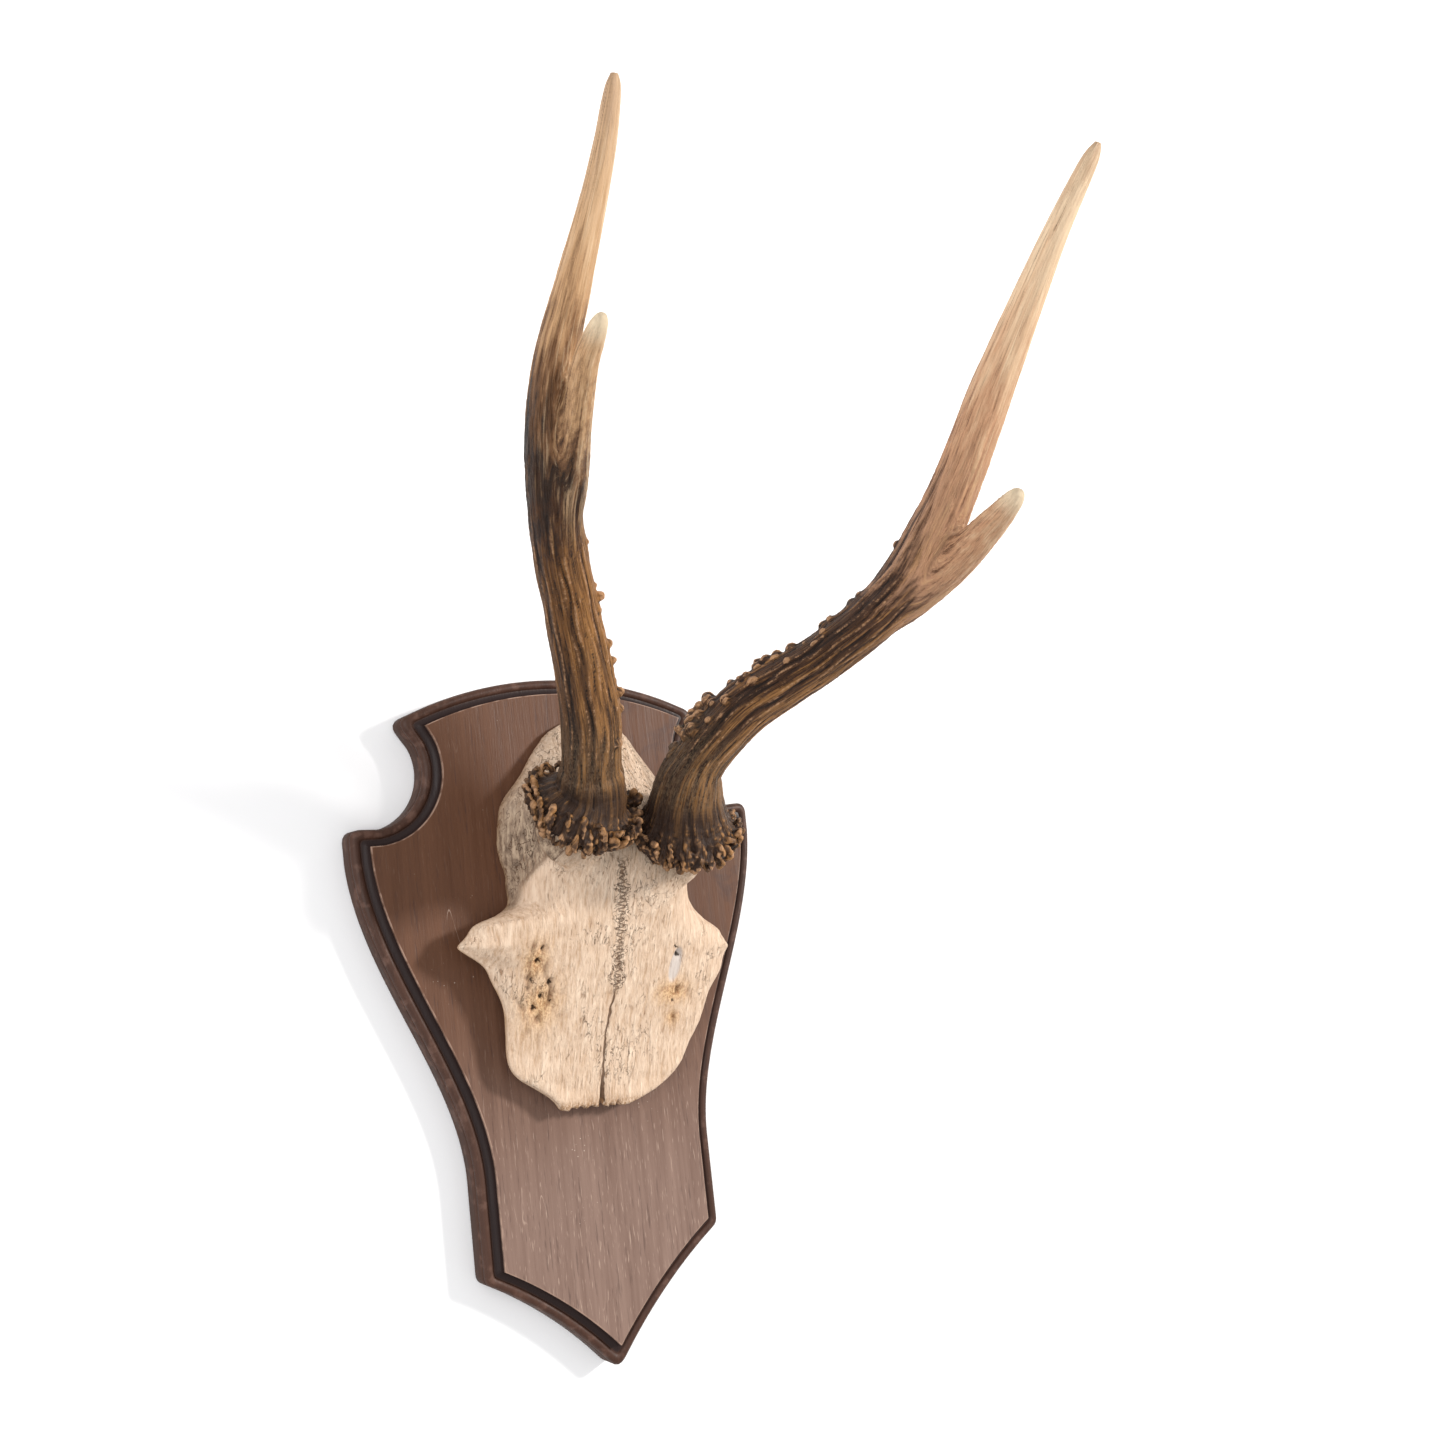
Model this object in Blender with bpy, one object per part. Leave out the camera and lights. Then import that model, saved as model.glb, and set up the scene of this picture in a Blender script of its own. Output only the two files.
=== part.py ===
"""Roe deer antlers on their sawn skull, fixed to a moulded wooden shield that hangs on a wall.

The shield's back lies on the plane y = 0 and the trophy faces -Y. The origin is the point
on the back, under the hanging recess, where the shield bears on the wall.
"""
import math
import random

import bmesh
import bpy
import numpy as np
from mathutils import Euler, Vector

# Shield, measured on the lip of its raised field, upwards from the pointed tip
CORNER_HALF_WIDTH = 0.0362
CORNER_HEIGHT = 0.0304
NOTCH_CENTRE_HALF_WIDTH = 0.0645
NOTCH_CENTRE_HEIGHT = 0.1825
NOTCH_RADIUS = 0.0227
NOTCH_LOWER_ANGLE = math.radians(-85)
NOTCH_UPPER_ANGLE = math.radians(144)
CROWN_RISE_HEIGHT = 0.0091
BOARD_THICKNESS = 0.011
LOWER_EDGE_DEPTH = 0.0018
SIDE_STRAIGHT_SHARE = 0.2
HANGING_HEIGHT = 0.165

# Moulding around the field
MOULDING_WIDTH = 0.0052
LIP_HEIGHT = 0.0014
ROLL_RADIUS = 0.0016
ROLL_DEPTH = 0.0024
GROOVE_DEPTH = 0.0005
BEAD_WIDTH = 0.0006
OUTER_CORNER_RADIUS = 0.0035
CORNER_LENGTH = 0.004
CORNER_STEPS = 3

# Hanging recess in the back, a blind round hole
RECESS_RADIUS = 0.0045
RECESS_DEPTH = 0.007
RECESS_HEIGHT = 0.015
RECESS_SIDES = 24

# Skull, laid against the field with a turn to the right
SKULL_LENGTH = 0.123
SKULL_WALL_THICKNESS = 0.003
SKULL_ANGLE = math.radians(4.5)
NOSE_END_HEIGHT = 0.0725
CONTACT_GAP = 0.0003
SECTION_POINTS = 21
PEDICLE_SWELL_HEIGHT = 0.010
PEDICLE_SWELL_RADIUS = 0.014

# Skull stations from the nose end to the back of the braincase, in hundredths of its length:
# along, half width to the left, half width to the right, height of the rim, height of the crown
SKULL_STATIONS = [
    (0.0, 13.0, 7.0, 4.0, 5.0),
    (3.0, 15.5, 14.0, 4.5, 5.5),
    (6.0, 19.5, 19.0, 4.5, 6.0),
    (9.0, 24.5, 22.0, 5.0, 6.7),
    (14.0, 27.5, 25.0, 5.0, 7.7),
    (20.0, 28.0, 28.5, 5.5, 9.5),
    (27.5, 29.0, 31.5, 6.0, 12.0),
    (33.5, 32.0, 35.5, 6.0, 14.0),
    (36.5, 33.5, 37.0, 6.0, 15.0),
    (39.0, 37.5, 38.0, 6.5, 15.7),
    (41.5, 40.5, 36.5, 6.5, 16.5),
    (44.0, 39.5, 34.5, 7.0, 17.2),
    (47.0, 36.0, 29.5, 7.0, 18.0),
    (49.5, 29.0, 27.5, 5.0, 18.6),
    (53.0, 25.0, 26.5, 1.5, 19.4),
    (58.0, 25.0, 26.0, 0.0, 20.0),
    (65.0, 27.0, 27.0, 0.0, 20.5),
    (75.5, 26.5, 25.0, 0.0, 18.5),
    (85.5, 20.0, 18.5, 0.0, 13.5),
    (92.0, 16.0, 14.0, 0.0, 9.5),
    (97.5, 11.0, 10.0, 0.0, 5.5),
    (100.0, 6.5, 5.5, 0.0, 3.0),
]
PLATE_END_SHARE = 0.50
BRAINCASE_START_SHARE = 0.60

# Antlers, from the burr outwards, in hundredths of the antler's length along its beam:
# to the right, forward off the wall, up, radius
LEFT_ANTLER_LENGTH = 0.2085
LEFT_BEAM = [
    (0.0, 0.0, 0.0, 4.7),
    (0.5, 1.8, 2.1, 4.5),
    (-0.6, 5.0, 6.0, 4.1),
    (-2.3, 9.2, 11.0, 4.1),
    (-4.9, 13.5, 15.9, 3.9),
    (-10.3, 21.4, 24.0, 3.5),
    (-15.2, 28.9, 30.4, 3.3),
    (-20.0, 38.1, 38.2, 3.0),
    (-22.5, 45.5, 45.3, 2.5),
    (-22.7, 51.9, 52.4, 2.0),
    (-22.2, 57.2, 59.6, 1.5),
    (-22.1, 60.5, 64.2, 1.25),
    (-22.3, 62.7, 67.2, 1.05),
    (-22.4, 63.9, 68.9, 0.8),
    (-22.5, 64.5, 69.8, 0.4),
]
LEFT_TINE = [
    (-15.5, 30.0, 31.0, 2.4),
    (-17.2, 36.3, 35.7, 2.4),
    (-19.8, 44.0, 39.0, 1.8),
    (-21.7, 50.7, 43.4, 1.5),
    (-22.1, 54.0, 45.4, 1.25),
    (-22.3, 56.1, 46.5, 0.9),
    (-22.3, 56.9, 47.0, 0.4),
]
RIGHT_ANTLER_LENGTH = 0.2362
RIGHT_BEAM = [
    (0.0, 0.0, 0.0, 4.6),
    (-1.1, 3.7, 5.3, 4.0),
    (-0.3, 6.5, 8.8, 3.4),
    (3.1, 11.7, 13.9, 3.5),
    (7.4, 16.1, 16.8, 3.2),
    (11.5, 20.4, 19.6, 3.1),
    (17.1, 27.3, 25.2, 3.3),
    (19.7, 33.3, 32.0, 3.2),
    (20.9, 37.8, 38.0, 2.9),
    (21.9, 44.0, 46.7, 2.6),
    (21.6, 51.4, 54.3, 2.0),
    (21.5, 57.0, 60.0, 1.5),
    (22.5, 61.0, 65.0, 1.15),
    (23.1, 62.4, 67.0, 0.9),
    (23.5, 63.2, 68.2, 0.4),
]
RIGHT_TINE = [
    (14.5, 23.0, 22.0, 2.6),
    (18.3, 27.5, 24.5, 2.7),
    (20.4, 33.0, 27.0, 2.5),
    (20.8, 38.3, 29.0, 2.1),
    (20.8, 42.5, 30.8, 1.7),
    (20.7, 45.7, 32.2, 1.25),
    (20.8, 46.8, 32.9, 0.85),
    (20.8, 47.2, 33.2, 0.4),
]
BEAM_SIDES = 18
BEAM_RINGS = 34
TINE_SIDES = 12
TINE_RINGS = 9
RIDGES_AROUND = 6
RIDGE_SHARE = 0.03

# Burrs, the knobbed collars where the antlers meet the skull
# Place of each burr's middle on the skull: across, along and height, in hundredths of its length
LEFT_BURR_PLACE = (-15.9, 74.2, 26.8)
RIGHT_BURR_PLACE = (13.3, 69.0, 26.8)
LEFT_BURR_FACING = (0.12, -0.70, 0.70)
RIGHT_BURR_FACING = (-0.16, -0.58, 0.80)
BURR_RADIUS = 0.0158
BURR_LOBES = 12
BURR_LOBE_SHARE = 0.07
BURR_SIDES = 36
# Burr outline along its axis: share of the burr's radius below or above the middle, and outwards
BURR_OUTLINE = [(-0.48, 0.55), (-0.26, 0.88), (-0.10, 1.0), (0.08, 1.0), (0.22, 0.90), (0.34, 0.72), (0.80, 0.57)]
PEDICLE_RADIUS = 0.0120
PEDICLE_NECK_RADIUS = 0.0108
PEDICLE_INSET_DEPTH = 0.002
PEDICLE_LENGTH = 0.009
PEDICLE_FOOT_SHARE = 0.7
PEDICLE_SIDES = 18

# Pearls, the bony beads along the inner side of each beam
PEARL_RADIUS = 0.0019
PEARL_BAND_START_SHARE = 0.10
PEARL_BAND_END_SHARE = 0.44
PEARLS_PER_ANTLER = 13
PEARL_STANDING_SHARE = 0.45
PEARL_BAND_HALF_ANGLE = math.radians(38)
LEFT_PEARL_ANGLE = math.radians(-35)
RIGHT_PEARL_ANGLE = math.radians(160)
PEARL_SEED = 11

HUNDREDTH = 0.01


def clear_scene():
    for thing in list(bpy.data.objects):
        bpy.data.objects.remove(thing, do_unlink=True)


def material(name, colour, roughness):
    made = bpy.data.materials.new(name)
    made.use_nodes = True
    shader = made.node_tree.nodes["Principled BSDF"]
    shader.inputs["Base Color"].default_value = (*colour, 1.0)
    shader.inputs["Roughness"].default_value = roughness
    shader.inputs["Metallic"].default_value = 0.0
    return made


def object_from(name, points, faces, look):
    mesh = bpy.data.meshes.new(name)
    mesh.from_pydata([tuple(p) for p in points], [], faces)
    mesh.materials.append(look)
    mesh.validate()
    work = bmesh.new()
    work.from_mesh(mesh)
    bmesh.ops.recalc_face_normals(work, faces=work.faces)
    work.to_mesh(mesh)
    work.free()
    mesh.shade_smooth()
    mesh.set_sharp_from_angle(angle=math.radians(35))
    made = bpy.data.objects.new(name, mesh)
    bpy.context.scene.collection.objects.link(made)
    return made


def make_helper(thing):
    """Marks an object that only shapes another one."""
    thing.hide_render = True
    thing.display_type = "WIRE"


def cut_away(target, helper):
    cut = target.modifiers.new("Cut by " + helper.name, "BOOLEAN")
    cut.operation = "DIFFERENCE"
    cut.object = helper
    cut.solver = "EXACT"
    make_helper(helper)


def unite(target, helpers):
    """One union of the target with all its helpers, which keep their own materials."""
    group = bpy.data.collections.new("parts of " + target.name)
    bpy.context.scene.collection.children.link(group)
    for helper in helpers:
        group.objects.link(helper)
        make_helper(helper)
    join = target.modifiers.new("Union of parts", "BOOLEAN")
    join.operation = "UNION"
    join.operand_type = "COLLECTION"
    join.collection = group
    join.solver = "EXACT"
    join.material_mode = "TRANSFER"


# Shield

def arc_between(start, end, radius, bulge_side, count):
    """Points on the circle of this radius through both ends; bulge_side +1 bows to the left of the way."""
    start = np.array(start)
    end = np.array(end)
    chord = end - start
    half = np.linalg.norm(chord) / 2
    to_left = np.array([-chord[1], chord[0]]) / (2 * half)
    centre = (start + end) / 2 - to_left * bulge_side * math.sqrt(max(radius ** 2 - half ** 2, 0.0))
    sweep = 2 * math.asin(min(half / radius, 1.0)) * -bulge_side
    first = start - centre
    points = []
    for step in np.linspace(0.0, sweep, count):
        turn = np.array([[math.cos(step), -math.sin(step)], [math.sin(step), math.cos(step)]])
        points.append(centre + turn @ first)
    return np.array(points)


def radius_of_hollow(start, end, hollow):
    half = math.dist(start, end) / 2
    return (half ** 2 + hollow ** 2) / (2 * hollow)


def lower_edge(count):
    start = (0.0, 0.0)
    end = (CORNER_HALF_WIDTH, CORNER_HEIGHT)
    return arc_between(start, end, radius_of_hollow(start, end, LOWER_EDGE_DEPTH), 1, count)


def notch_point(turn):
    return (NOTCH_CENTRE_HALF_WIDTH + NOTCH_RADIUS * math.cos(turn),
            NOTCH_CENTRE_HEIGHT + NOTCH_RADIUS * math.sin(turn))


def side_edge(count):
    """Upright just above the corner, then an ogee out to the shoulder."""
    shoulder_half_width, shoulder_height = notch_point(NOTCH_LOWER_ANGLE)
    points = []
    for share in np.linspace(0.0, 1.0, count):
        ramp = max(share - SIDE_STRAIGHT_SHARE, 0.0) / (1 - SIDE_STRAIGHT_SHARE)
        eased = ramp * ramp * (3 - 2 * ramp)
        half_width = CORNER_HALF_WIDTH + (shoulder_half_width - CORNER_HALF_WIDTH) * eased
        points.append((half_width, CORNER_HEIGHT + (shoulder_height - CORNER_HEIGHT) * share))
    return np.array(points)


def notch_edge(count):
    """Most of a circle, bitten out between the shoulder and the crown."""
    turns = np.linspace(NOTCH_LOWER_ANGLE, NOTCH_UPPER_ANGLE - 2 * math.pi, count)
    return np.array([notch_point(turn) for turn in turns])


def crown_edge(count):
    """The shallow arc over the top, from the right corner to the left one."""
    half_width, corner_height = notch_point(NOTCH_UPPER_ANGLE)
    radius = (half_width ** 2 + CROWN_RISE_HEIGHT ** 2) / (2 * CROWN_RISE_HEIGHT)
    centre_height = corner_height + CROWN_RISE_HEIGHT - radius
    half_sweep = math.asin(half_width / radius)
    turns = np.linspace(half_sweep, -half_sweep, count)
    return np.column_stack([radius * np.sin(turns), centre_height + radius * np.cos(turns)])


def trimmed(edge_function, count):
    """An edge without its last few millimetres at each end, and its true end points."""
    fine = edge_function(200)
    lengths = np.concatenate([[0.0], np.cumsum(np.linalg.norm(np.diff(fine, axis=0), axis=1))])
    wanted = np.linspace(CORNER_LENGTH, lengths[-1] - CORNER_LENGTH, count)
    middle = np.column_stack([np.interp(wanted, lengths, fine[:, axis]) for axis in (0, 1)])
    slopes = np.gradient(fine, lengths, axis=0)
    headings = np.column_stack([np.interp(wanted, lengths, slopes[:, axis]) for axis in (0, 1)])
    return {"points": middle, "headings": headings, "ends": fine[[0, -1]], "end_headings": slopes[[0, -1]]}


def mirrored_trim(edge):
    flip = np.array([-1, 1])
    return {
        "points": (edge["points"] * flip)[::-1],
        "headings": (edge["headings"] * -flip)[::-1],
        "ends": (edge["ends"] * flip)[::-1],
        "end_headings": (edge["end_headings"] * -flip)[::-1],
    }


def outward(headings):
    """Unit normals to the right of the way, which is outwards on an outline run anticlockwise."""
    normals = np.column_stack([headings[:, 1], -headings[:, 0]])
    return normals / np.linalg.norm(normals, axis=1)[:, None]


def field_edges():
    right = [trimmed(lower_edge, 3), trimmed(side_edge, 11), trimmed(notch_edge, 10)]
    crown = trimmed(crown_edge, 11)
    left = [mirrored_trim(edge) for edge in reversed(right)]
    return right + [crown] + left


def meeting_point(first, heading_1, second, heading_2):
    steps = np.linalg.solve(np.column_stack([heading_1, -heading_2]), second - first)
    return first + heading_1 * steps[0]


def corner_run(before, corner, after, radius):
    """Points round a corner, evenly spaced: straight, round with this radius, straight."""
    way_in = (corner - before) / np.linalg.norm(corner - before)
    way_out = (after - corner) / np.linalg.norm(after - corner)
    turn = math.acos(max(-1.0, min(1.0, float(way_in @ way_out))))
    setback = radius * math.tan(turn / 2)
    setback = min(setback, 0.9 * np.linalg.norm(corner - before), 0.9 * np.linalg.norm(after - corner))
    start = corner - way_in * setback
    end = corner + way_out * setback
    fine = [before]
    for share in np.linspace(0.0, 1.0, 15):
        fine.append((1 - share) ** 2 * start + 2 * share * (1 - share) * corner + share ** 2 * end)
    fine.append(after)
    fine = np.array(fine)
    lengths = np.concatenate([[0.0], np.cumsum(np.linalg.norm(np.diff(fine, axis=0), axis=1))])
    if setback < 1e-9:
        lengths = np.array([0.0, np.linalg.norm(corner - before), 0.0])
        lengths[2] = lengths[1] + np.linalg.norm(after - corner)
        fine = np.array([before, corner, after])
    shares = np.linspace(0.0, 1.0, 2 * CORNER_STEPS + 1)[1:-1]
    middle = lengths[-1] * shares
    if setback < 1e-9:
        middle = np.interp(shares, [0.0, 0.5, 1.0], lengths)
    return np.column_stack([np.interp(middle, lengths, fine[:, axis]) for axis in (0, 1)])


def ring(edges, width):
    """The closed outline at this distance outside the field's lip, corners rounder further out."""
    points = []
    radius = OUTER_CORNER_RADIUS * width / MOULDING_WIDTH
    for place, edge in enumerate(edges):
        before = edges[place - 1]
        last_of_before = before["points"][-1] + outward(before["headings"])[-1] * width
        first_of_this = edge["points"][0] + outward(edge["headings"])[0] * width
        end_1 = before["ends"][1] + outward(before["end_headings"])[1] * width
        end_2 = edge["ends"][0] + outward(edge["end_headings"])[0] * width
        corner = meeting_point(end_1, before["end_headings"][1], end_2, edge["end_headings"][0])
        points.extend(corner_run(last_of_before, corner, first_of_this, radius))
        points.extend(edge["points"] + outward(edge["headings"]) * width)
    return np.array(points)


def moulding_profile():
    """Distance out from the lip and height off the wall, from the lip down to the wall."""
    roll_out = MOULDING_WIDTH - ROLL_RADIUS
    roll_height = BOARD_THICKNESS - ROLL_DEPTH - ROLL_RADIUS
    lip_foot = BOARD_THICKNESS - LIP_HEIGHT
    profile = [(0.0, BOARD_THICKNESS), (0.0, lip_foot)]
    roll_start = (roll_out - ROLL_RADIUS * math.cos(math.radians(30)), roll_height + ROLL_RADIUS / 2)
    for turn in (40, 75):
        lean = math.radians(turn)
        out = roll_start[0] * (1 - math.cos(lean))
        down = lip_foot - (lip_foot - roll_start[1]) * math.sin(lean)
        profile.append((out, down))
    for turn in (150, 110, 70, 30, -10):
        lean = math.radians(turn)
        profile.append((roll_out + ROLL_RADIUS * math.cos(lean), roll_height + ROLL_RADIUS * math.sin(lean)))
    groove_height = roll_height - ROLL_RADIUS * 0.75
    profile.append((MOULDING_WIDTH - GROOVE_DEPTH, groove_height))
    profile.append((MOULDING_WIDTH, groove_height - BEAD_WIDTH))
    profile.append((MOULDING_WIDTH, 0.0))
    return profile


def build_shield(look):
    edges = field_edges()
    points = []
    profile = moulding_profile()
    for width, height in profile:
        for across, up in ring(edges, width):
            points.append((across, -height, up - HANGING_HEIGHT))
    around = len(points) // len(profile)
    faces = [tuple(range(around))]
    for level in range(len(profile) - 1):
        for step in range(around):
            a = level * around + step
            b = level * around + (step + 1) % around
            faces.append((a, b, b + around, a + around))
    faces.append(tuple(range(len(points) - 1, len(points) - around - 1, -1)))
    shield = object_from("wooden_shield", points, faces, look)
    cut_away(shield, recess_cutter(look))
    return shield


def recess_cutter(look):
    points = []
    for depth in (CONTACT_GAP, -RECESS_DEPTH):
        for step in range(RECESS_SIDES):
            turn = 2 * math.pi * step / RECESS_SIDES
            points.append((RECESS_RADIUS * math.cos(turn), depth, RECESS_HEIGHT + RECESS_RADIUS * math.sin(turn)))
    return object_from("hanging recess cutter", points, tube_faces(2, RECESS_SIDES), look)


# Skull

def skull_to_world(across, along, height):
    """From the skull's own frame, on the field from its nose end up, to the shield's frame."""
    x = across * math.cos(SKULL_ANGLE) + along * math.sin(SKULL_ANGLE)
    z = along * math.cos(SKULL_ANGLE) - across * math.sin(SKULL_ANGLE)
    return Vector((x, -BOARD_THICKNESS - height, z + NOSE_END_HEIGHT - HANGING_HEIGHT))


def eased_share(value, low, high):
    share = max(0.0, min(1.0, (value - low) / (high - low)))
    return share * share * (3 - 2 * share)


def section_height(offset, along_share, rim, crown):
    """Height of the bone at an offset of -1 to 1: a flat forehead plate, or a round braincase."""
    brain = eased_share(along_share, PLATE_END_SHARE, BRAINCASE_START_SHARE)
    flatness = 2.8 - 0.6 * brain
    fullness = 0.68 - 0.18 * brain
    return rim + (crown - rim) * (1 - min(abs(offset), 1.0) ** flatness) ** fullness


def pedicle_foot(place):
    """Where the stalk under a burr enters the skull, nearer the nose than the burr is."""
    across, along, height = burr_middle(place)
    return across, along - PEDICLE_FOOT_SHARE * PEDICLE_LENGTH, height - PEDICLE_LENGTH


def pedicle_swell(across, along):
    total = 0.0
    for place in (LEFT_BURR_PLACE, RIGHT_BURR_PLACE):
        foot_across, foot_along, foot_height = pedicle_foot(place)
        distance = math.hypot(across - foot_across, along - foot_along)
        total += PEDICLE_SWELL_HEIGHT * math.exp(-(distance / PEDICLE_SWELL_RADIUS) ** 2)
    return total


def skull_grid(inner):
    rows = []
    for station in SKULL_STATIONS:
        along, left, right, rim, crown = [value * HUNDREDTH * SKULL_LENGTH for value in station]
        along_share = station[0] * HUNDREDTH
        rim = max(rim, CONTACT_GAP)
        if inner:
            resting = 1 - min(1.0, rim / SKULL_WALL_THICKNESS)
            left -= SKULL_WALL_THICKNESS * resting
            right -= SKULL_WALL_THICKNESS * resting
            rim = max(rim - SKULL_WALL_THICKNESS, CONTACT_GAP)
            crown = max(crown - SKULL_WALL_THICKNESS, rim + CONTACT_GAP)
        row = []
        for step in range(SECTION_POINTS):
            offset = math.sin(math.pi * (step / (SECTION_POINTS - 1) - 0.5))
            across = offset * (left if offset < 0 else right)
            height = section_height(offset, along_share, rim, crown)
            if not inner:
                height += pedicle_swell(across, along) * (1 - abs(offset) ** 4)
            row.append((across, along, height))
        rows.append(row)
    return rows


def build_skull_shell(look):
    outer = skull_grid(inner=False)
    inner = skull_grid(inner=True)
    rows = len(outer)
    points = [skull_to_world(*p) for row in outer for p in row]
    points += [skull_to_world(*p) for row in inner for p in row]
    inside = rows * SECTION_POINTS

    def at(row, column, layer):
        return layer * inside + row * SECTION_POINTS + column

    faces = []
    for row in range(rows - 1):
        for column in range(SECTION_POINTS - 1):
            quad = [(row, column), (row, column + 1), (row + 1, column + 1), (row + 1, column)]
            faces.append(tuple(at(*corner, 0) for corner in quad))
            faces.append(tuple(at(*corner, 1) for corner in reversed(quad)))
    rim = [(0, column) for column in range(SECTION_POINTS)]
    rim += [(row, SECTION_POINTS - 1) for row in range(1, rows)]
    rim += [(rows - 1, column) for column in range(SECTION_POINTS - 2, -1, -1)]
    rim += [(row, 0) for row in range(rows - 2, 0, -1)]
    for place, here in enumerate(rim):
        following = rim[(place + 1) % len(rim)]
        faces.append((at(*following, 0), at(*here, 0), at(*here, 1), at(*following, 1)))
    return object_from("skull_and_antlers", points, faces, look)


# Antlers

def smooth_path(stations, length, origin, count):
    """Evenly spaced points and radii on a smooth curve through the stations."""
    table = np.array(stations) * HUNDREDTH * length
    padded = np.vstack([2 * table[0] - table[1], table, 2 * table[-1] - table[-2]])
    fine = []
    for place in range(1, len(padded) - 2):
        before, here, there, beyond = padded[place - 1:place + 3]
        for share in np.linspace(0.0, 1.0, 12, endpoint=False):
            fine.append(0.5 * (2 * here + (there - before) * share
                               + (2 * before - 5 * here + 4 * there - beyond) * share ** 2
                               + (3 * here - before - 3 * there + beyond) * share ** 3))
    fine.append(table[-1])
    fine = np.array(fine)
    lengths = np.concatenate([[0.0], np.cumsum(np.linalg.norm(np.diff(fine[:, :3], axis=0), axis=1))])
    wanted = np.linspace(0.0, lengths[-1], count)
    even = np.column_stack([np.interp(wanted, lengths, fine[:, axis]) for axis in range(4)])
    places = [origin + Vector((right, -forward, up)) for right, forward, up in even[:, :3]]
    return places, even[:, 3]


def path_frames(places):
    """Two cross directions at each place, carried along without twisting; the first starts inwards."""
    headings = []
    for step in range(len(places)):
        ahead = places[min(step + 1, len(places) - 1)]
        behind = places[max(step - 1, 0)]
        headings.append((ahead - behind).normalized())
    side = Vector((1, 0, 0))
    frames = []
    for heading in headings:
        side = (side - heading * side.dot(heading)).normalized()
        frames.append((side.copy(), heading.cross(side)))
    return frames


def tube_faces(rings, sides):
    faces = [tuple(range(sides))]
    for level in range(rings - 1):
        for step in range(sides):
            a = level * sides + step
            b = level * sides + (step + 1) % sides
            faces.append((a, b, b + sides, a + sides))
    faces.append(tuple(range(rings * sides - 1, (rings - 1) * sides - 1, -1)))
    return faces


def tube(name, places, radii, sides, look, ridged):
    points = []
    for place, radius, (side, across) in zip(places, radii, path_frames(places)):
        for step in range(sides):
            turn = 2 * math.pi * step / sides
            ridge = 1 + ridged * math.cos(RIDGES_AROUND * turn)
            points.append(place + (side * math.cos(turn) + across * math.sin(turn)) * radius * ridge)
    return object_from(name, points, tube_faces(len(places), sides), look)


def burr_middle(place):
    """Across, along and height of a burr's middle in the skull's own frame."""
    return [share * HUNDREDTH * SKULL_LENGTH for share in place]


def burr_centre(place):
    return skull_to_world(*burr_middle(place))


def disc_points(centre, facing, radius_at, sides):
    facing = Vector(facing).normalized()
    side = Vector((1, 0, 0))
    side = (side - facing * side.dot(facing)).normalized()
    across = facing.cross(side)
    points = []
    for step in range(sides):
        turn = 2 * math.pi * step / sides
        points.append(centre + (side * math.cos(turn) + across * math.sin(turn)) * radius_at(turn))
    return points


def build_burr(name, place, facing, phase, look):
    """A flared collar whose rim swells into knobs."""
    axis = Vector(facing).normalized()
    centre = burr_centre(place)
    points = []
    for rise, reach in BURR_OUTLINE:
        def radius_at(turn, reach=reach):
            knob = math.cos(BURR_LOBES * turn + phase) + 0.5 * math.cos(5 * turn + 2 * phase)
            return BURR_RADIUS * reach * (1 + BURR_LOBE_SHARE * knob * reach ** 3)
        points += disc_points(centre + axis * rise * BURR_RADIUS, facing, radius_at, BURR_SIDES)
    return object_from(name, points, tube_faces(len(BURR_OUTLINE), BURR_SIDES), look)


def build_pedicle(name, place, facing, look):
    """The bony stalk under a burr, rooted in the skull and leaning towards the burr."""
    outward_axis = Vector((0, -1, 0))
    burr_axis = Vector(facing).normalized()
    root = skull_to_world(*pedicle_foot(place))
    neck = burr_centre(place) - burr_axis * PEDICLE_INSET_DEPTH
    points = disc_points(root, outward_axis, lambda turn: PEDICLE_RADIUS, PEDICLE_SIDES)
    points += disc_points(neck, outward_axis + burr_axis, lambda turn: PEDICLE_NECK_RADIUS, PEDICLE_SIDES)
    return object_from(name, points, tube_faces(2, PEDICLE_SIDES), look)


def build_pearls(name, places, radii, inward, chance, look):
    """Bony beads half sunk in the inner and front side of the beam, in one helper object."""
    frames = path_frames(places)
    work = bmesh.new()
    for number in range(PEARLS_PER_ANTLER):
        share = PEARL_BAND_START_SHARE
        share += (PEARL_BAND_END_SHARE - PEARL_BAND_START_SHARE) * number / (PEARLS_PER_ANTLER - 1)
        ring_number = int(share * (len(places) - 1))
        middle = places[ring_number].lerp(places[ring_number + 1], chance.uniform(0.35, 0.65))
        side, across = frames[ring_number]
        turn = inward + chance.uniform(-PEARL_BAND_HALF_ANGLE, PEARL_BAND_HALF_ANGLE)
        size = PEARL_RADIUS * chance.uniform(0.7, 1.25)
        reach = radii[ring_number] - size * (1 - 2 * PEARL_STANDING_SHARE)
        spot = middle + (side * math.cos(turn) + across * math.sin(turn)) * reach
        roll = Euler([chance.uniform(0, math.pi) for axis in range(3)]).to_matrix()
        made = bmesh.ops.create_icosphere(work, subdivisions=1, radius=size)
        bmesh.ops.rotate(work, verts=made["verts"], matrix=roll)
        bmesh.ops.translate(work, verts=made["verts"], vec=spot)
    mesh = bpy.data.meshes.new(name)
    work.to_mesh(mesh)
    work.free()
    mesh.materials.append(look)
    pearls = bpy.data.objects.new(name, mesh)
    bpy.context.scene.collection.objects.link(pearls)
    return pearls


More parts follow.
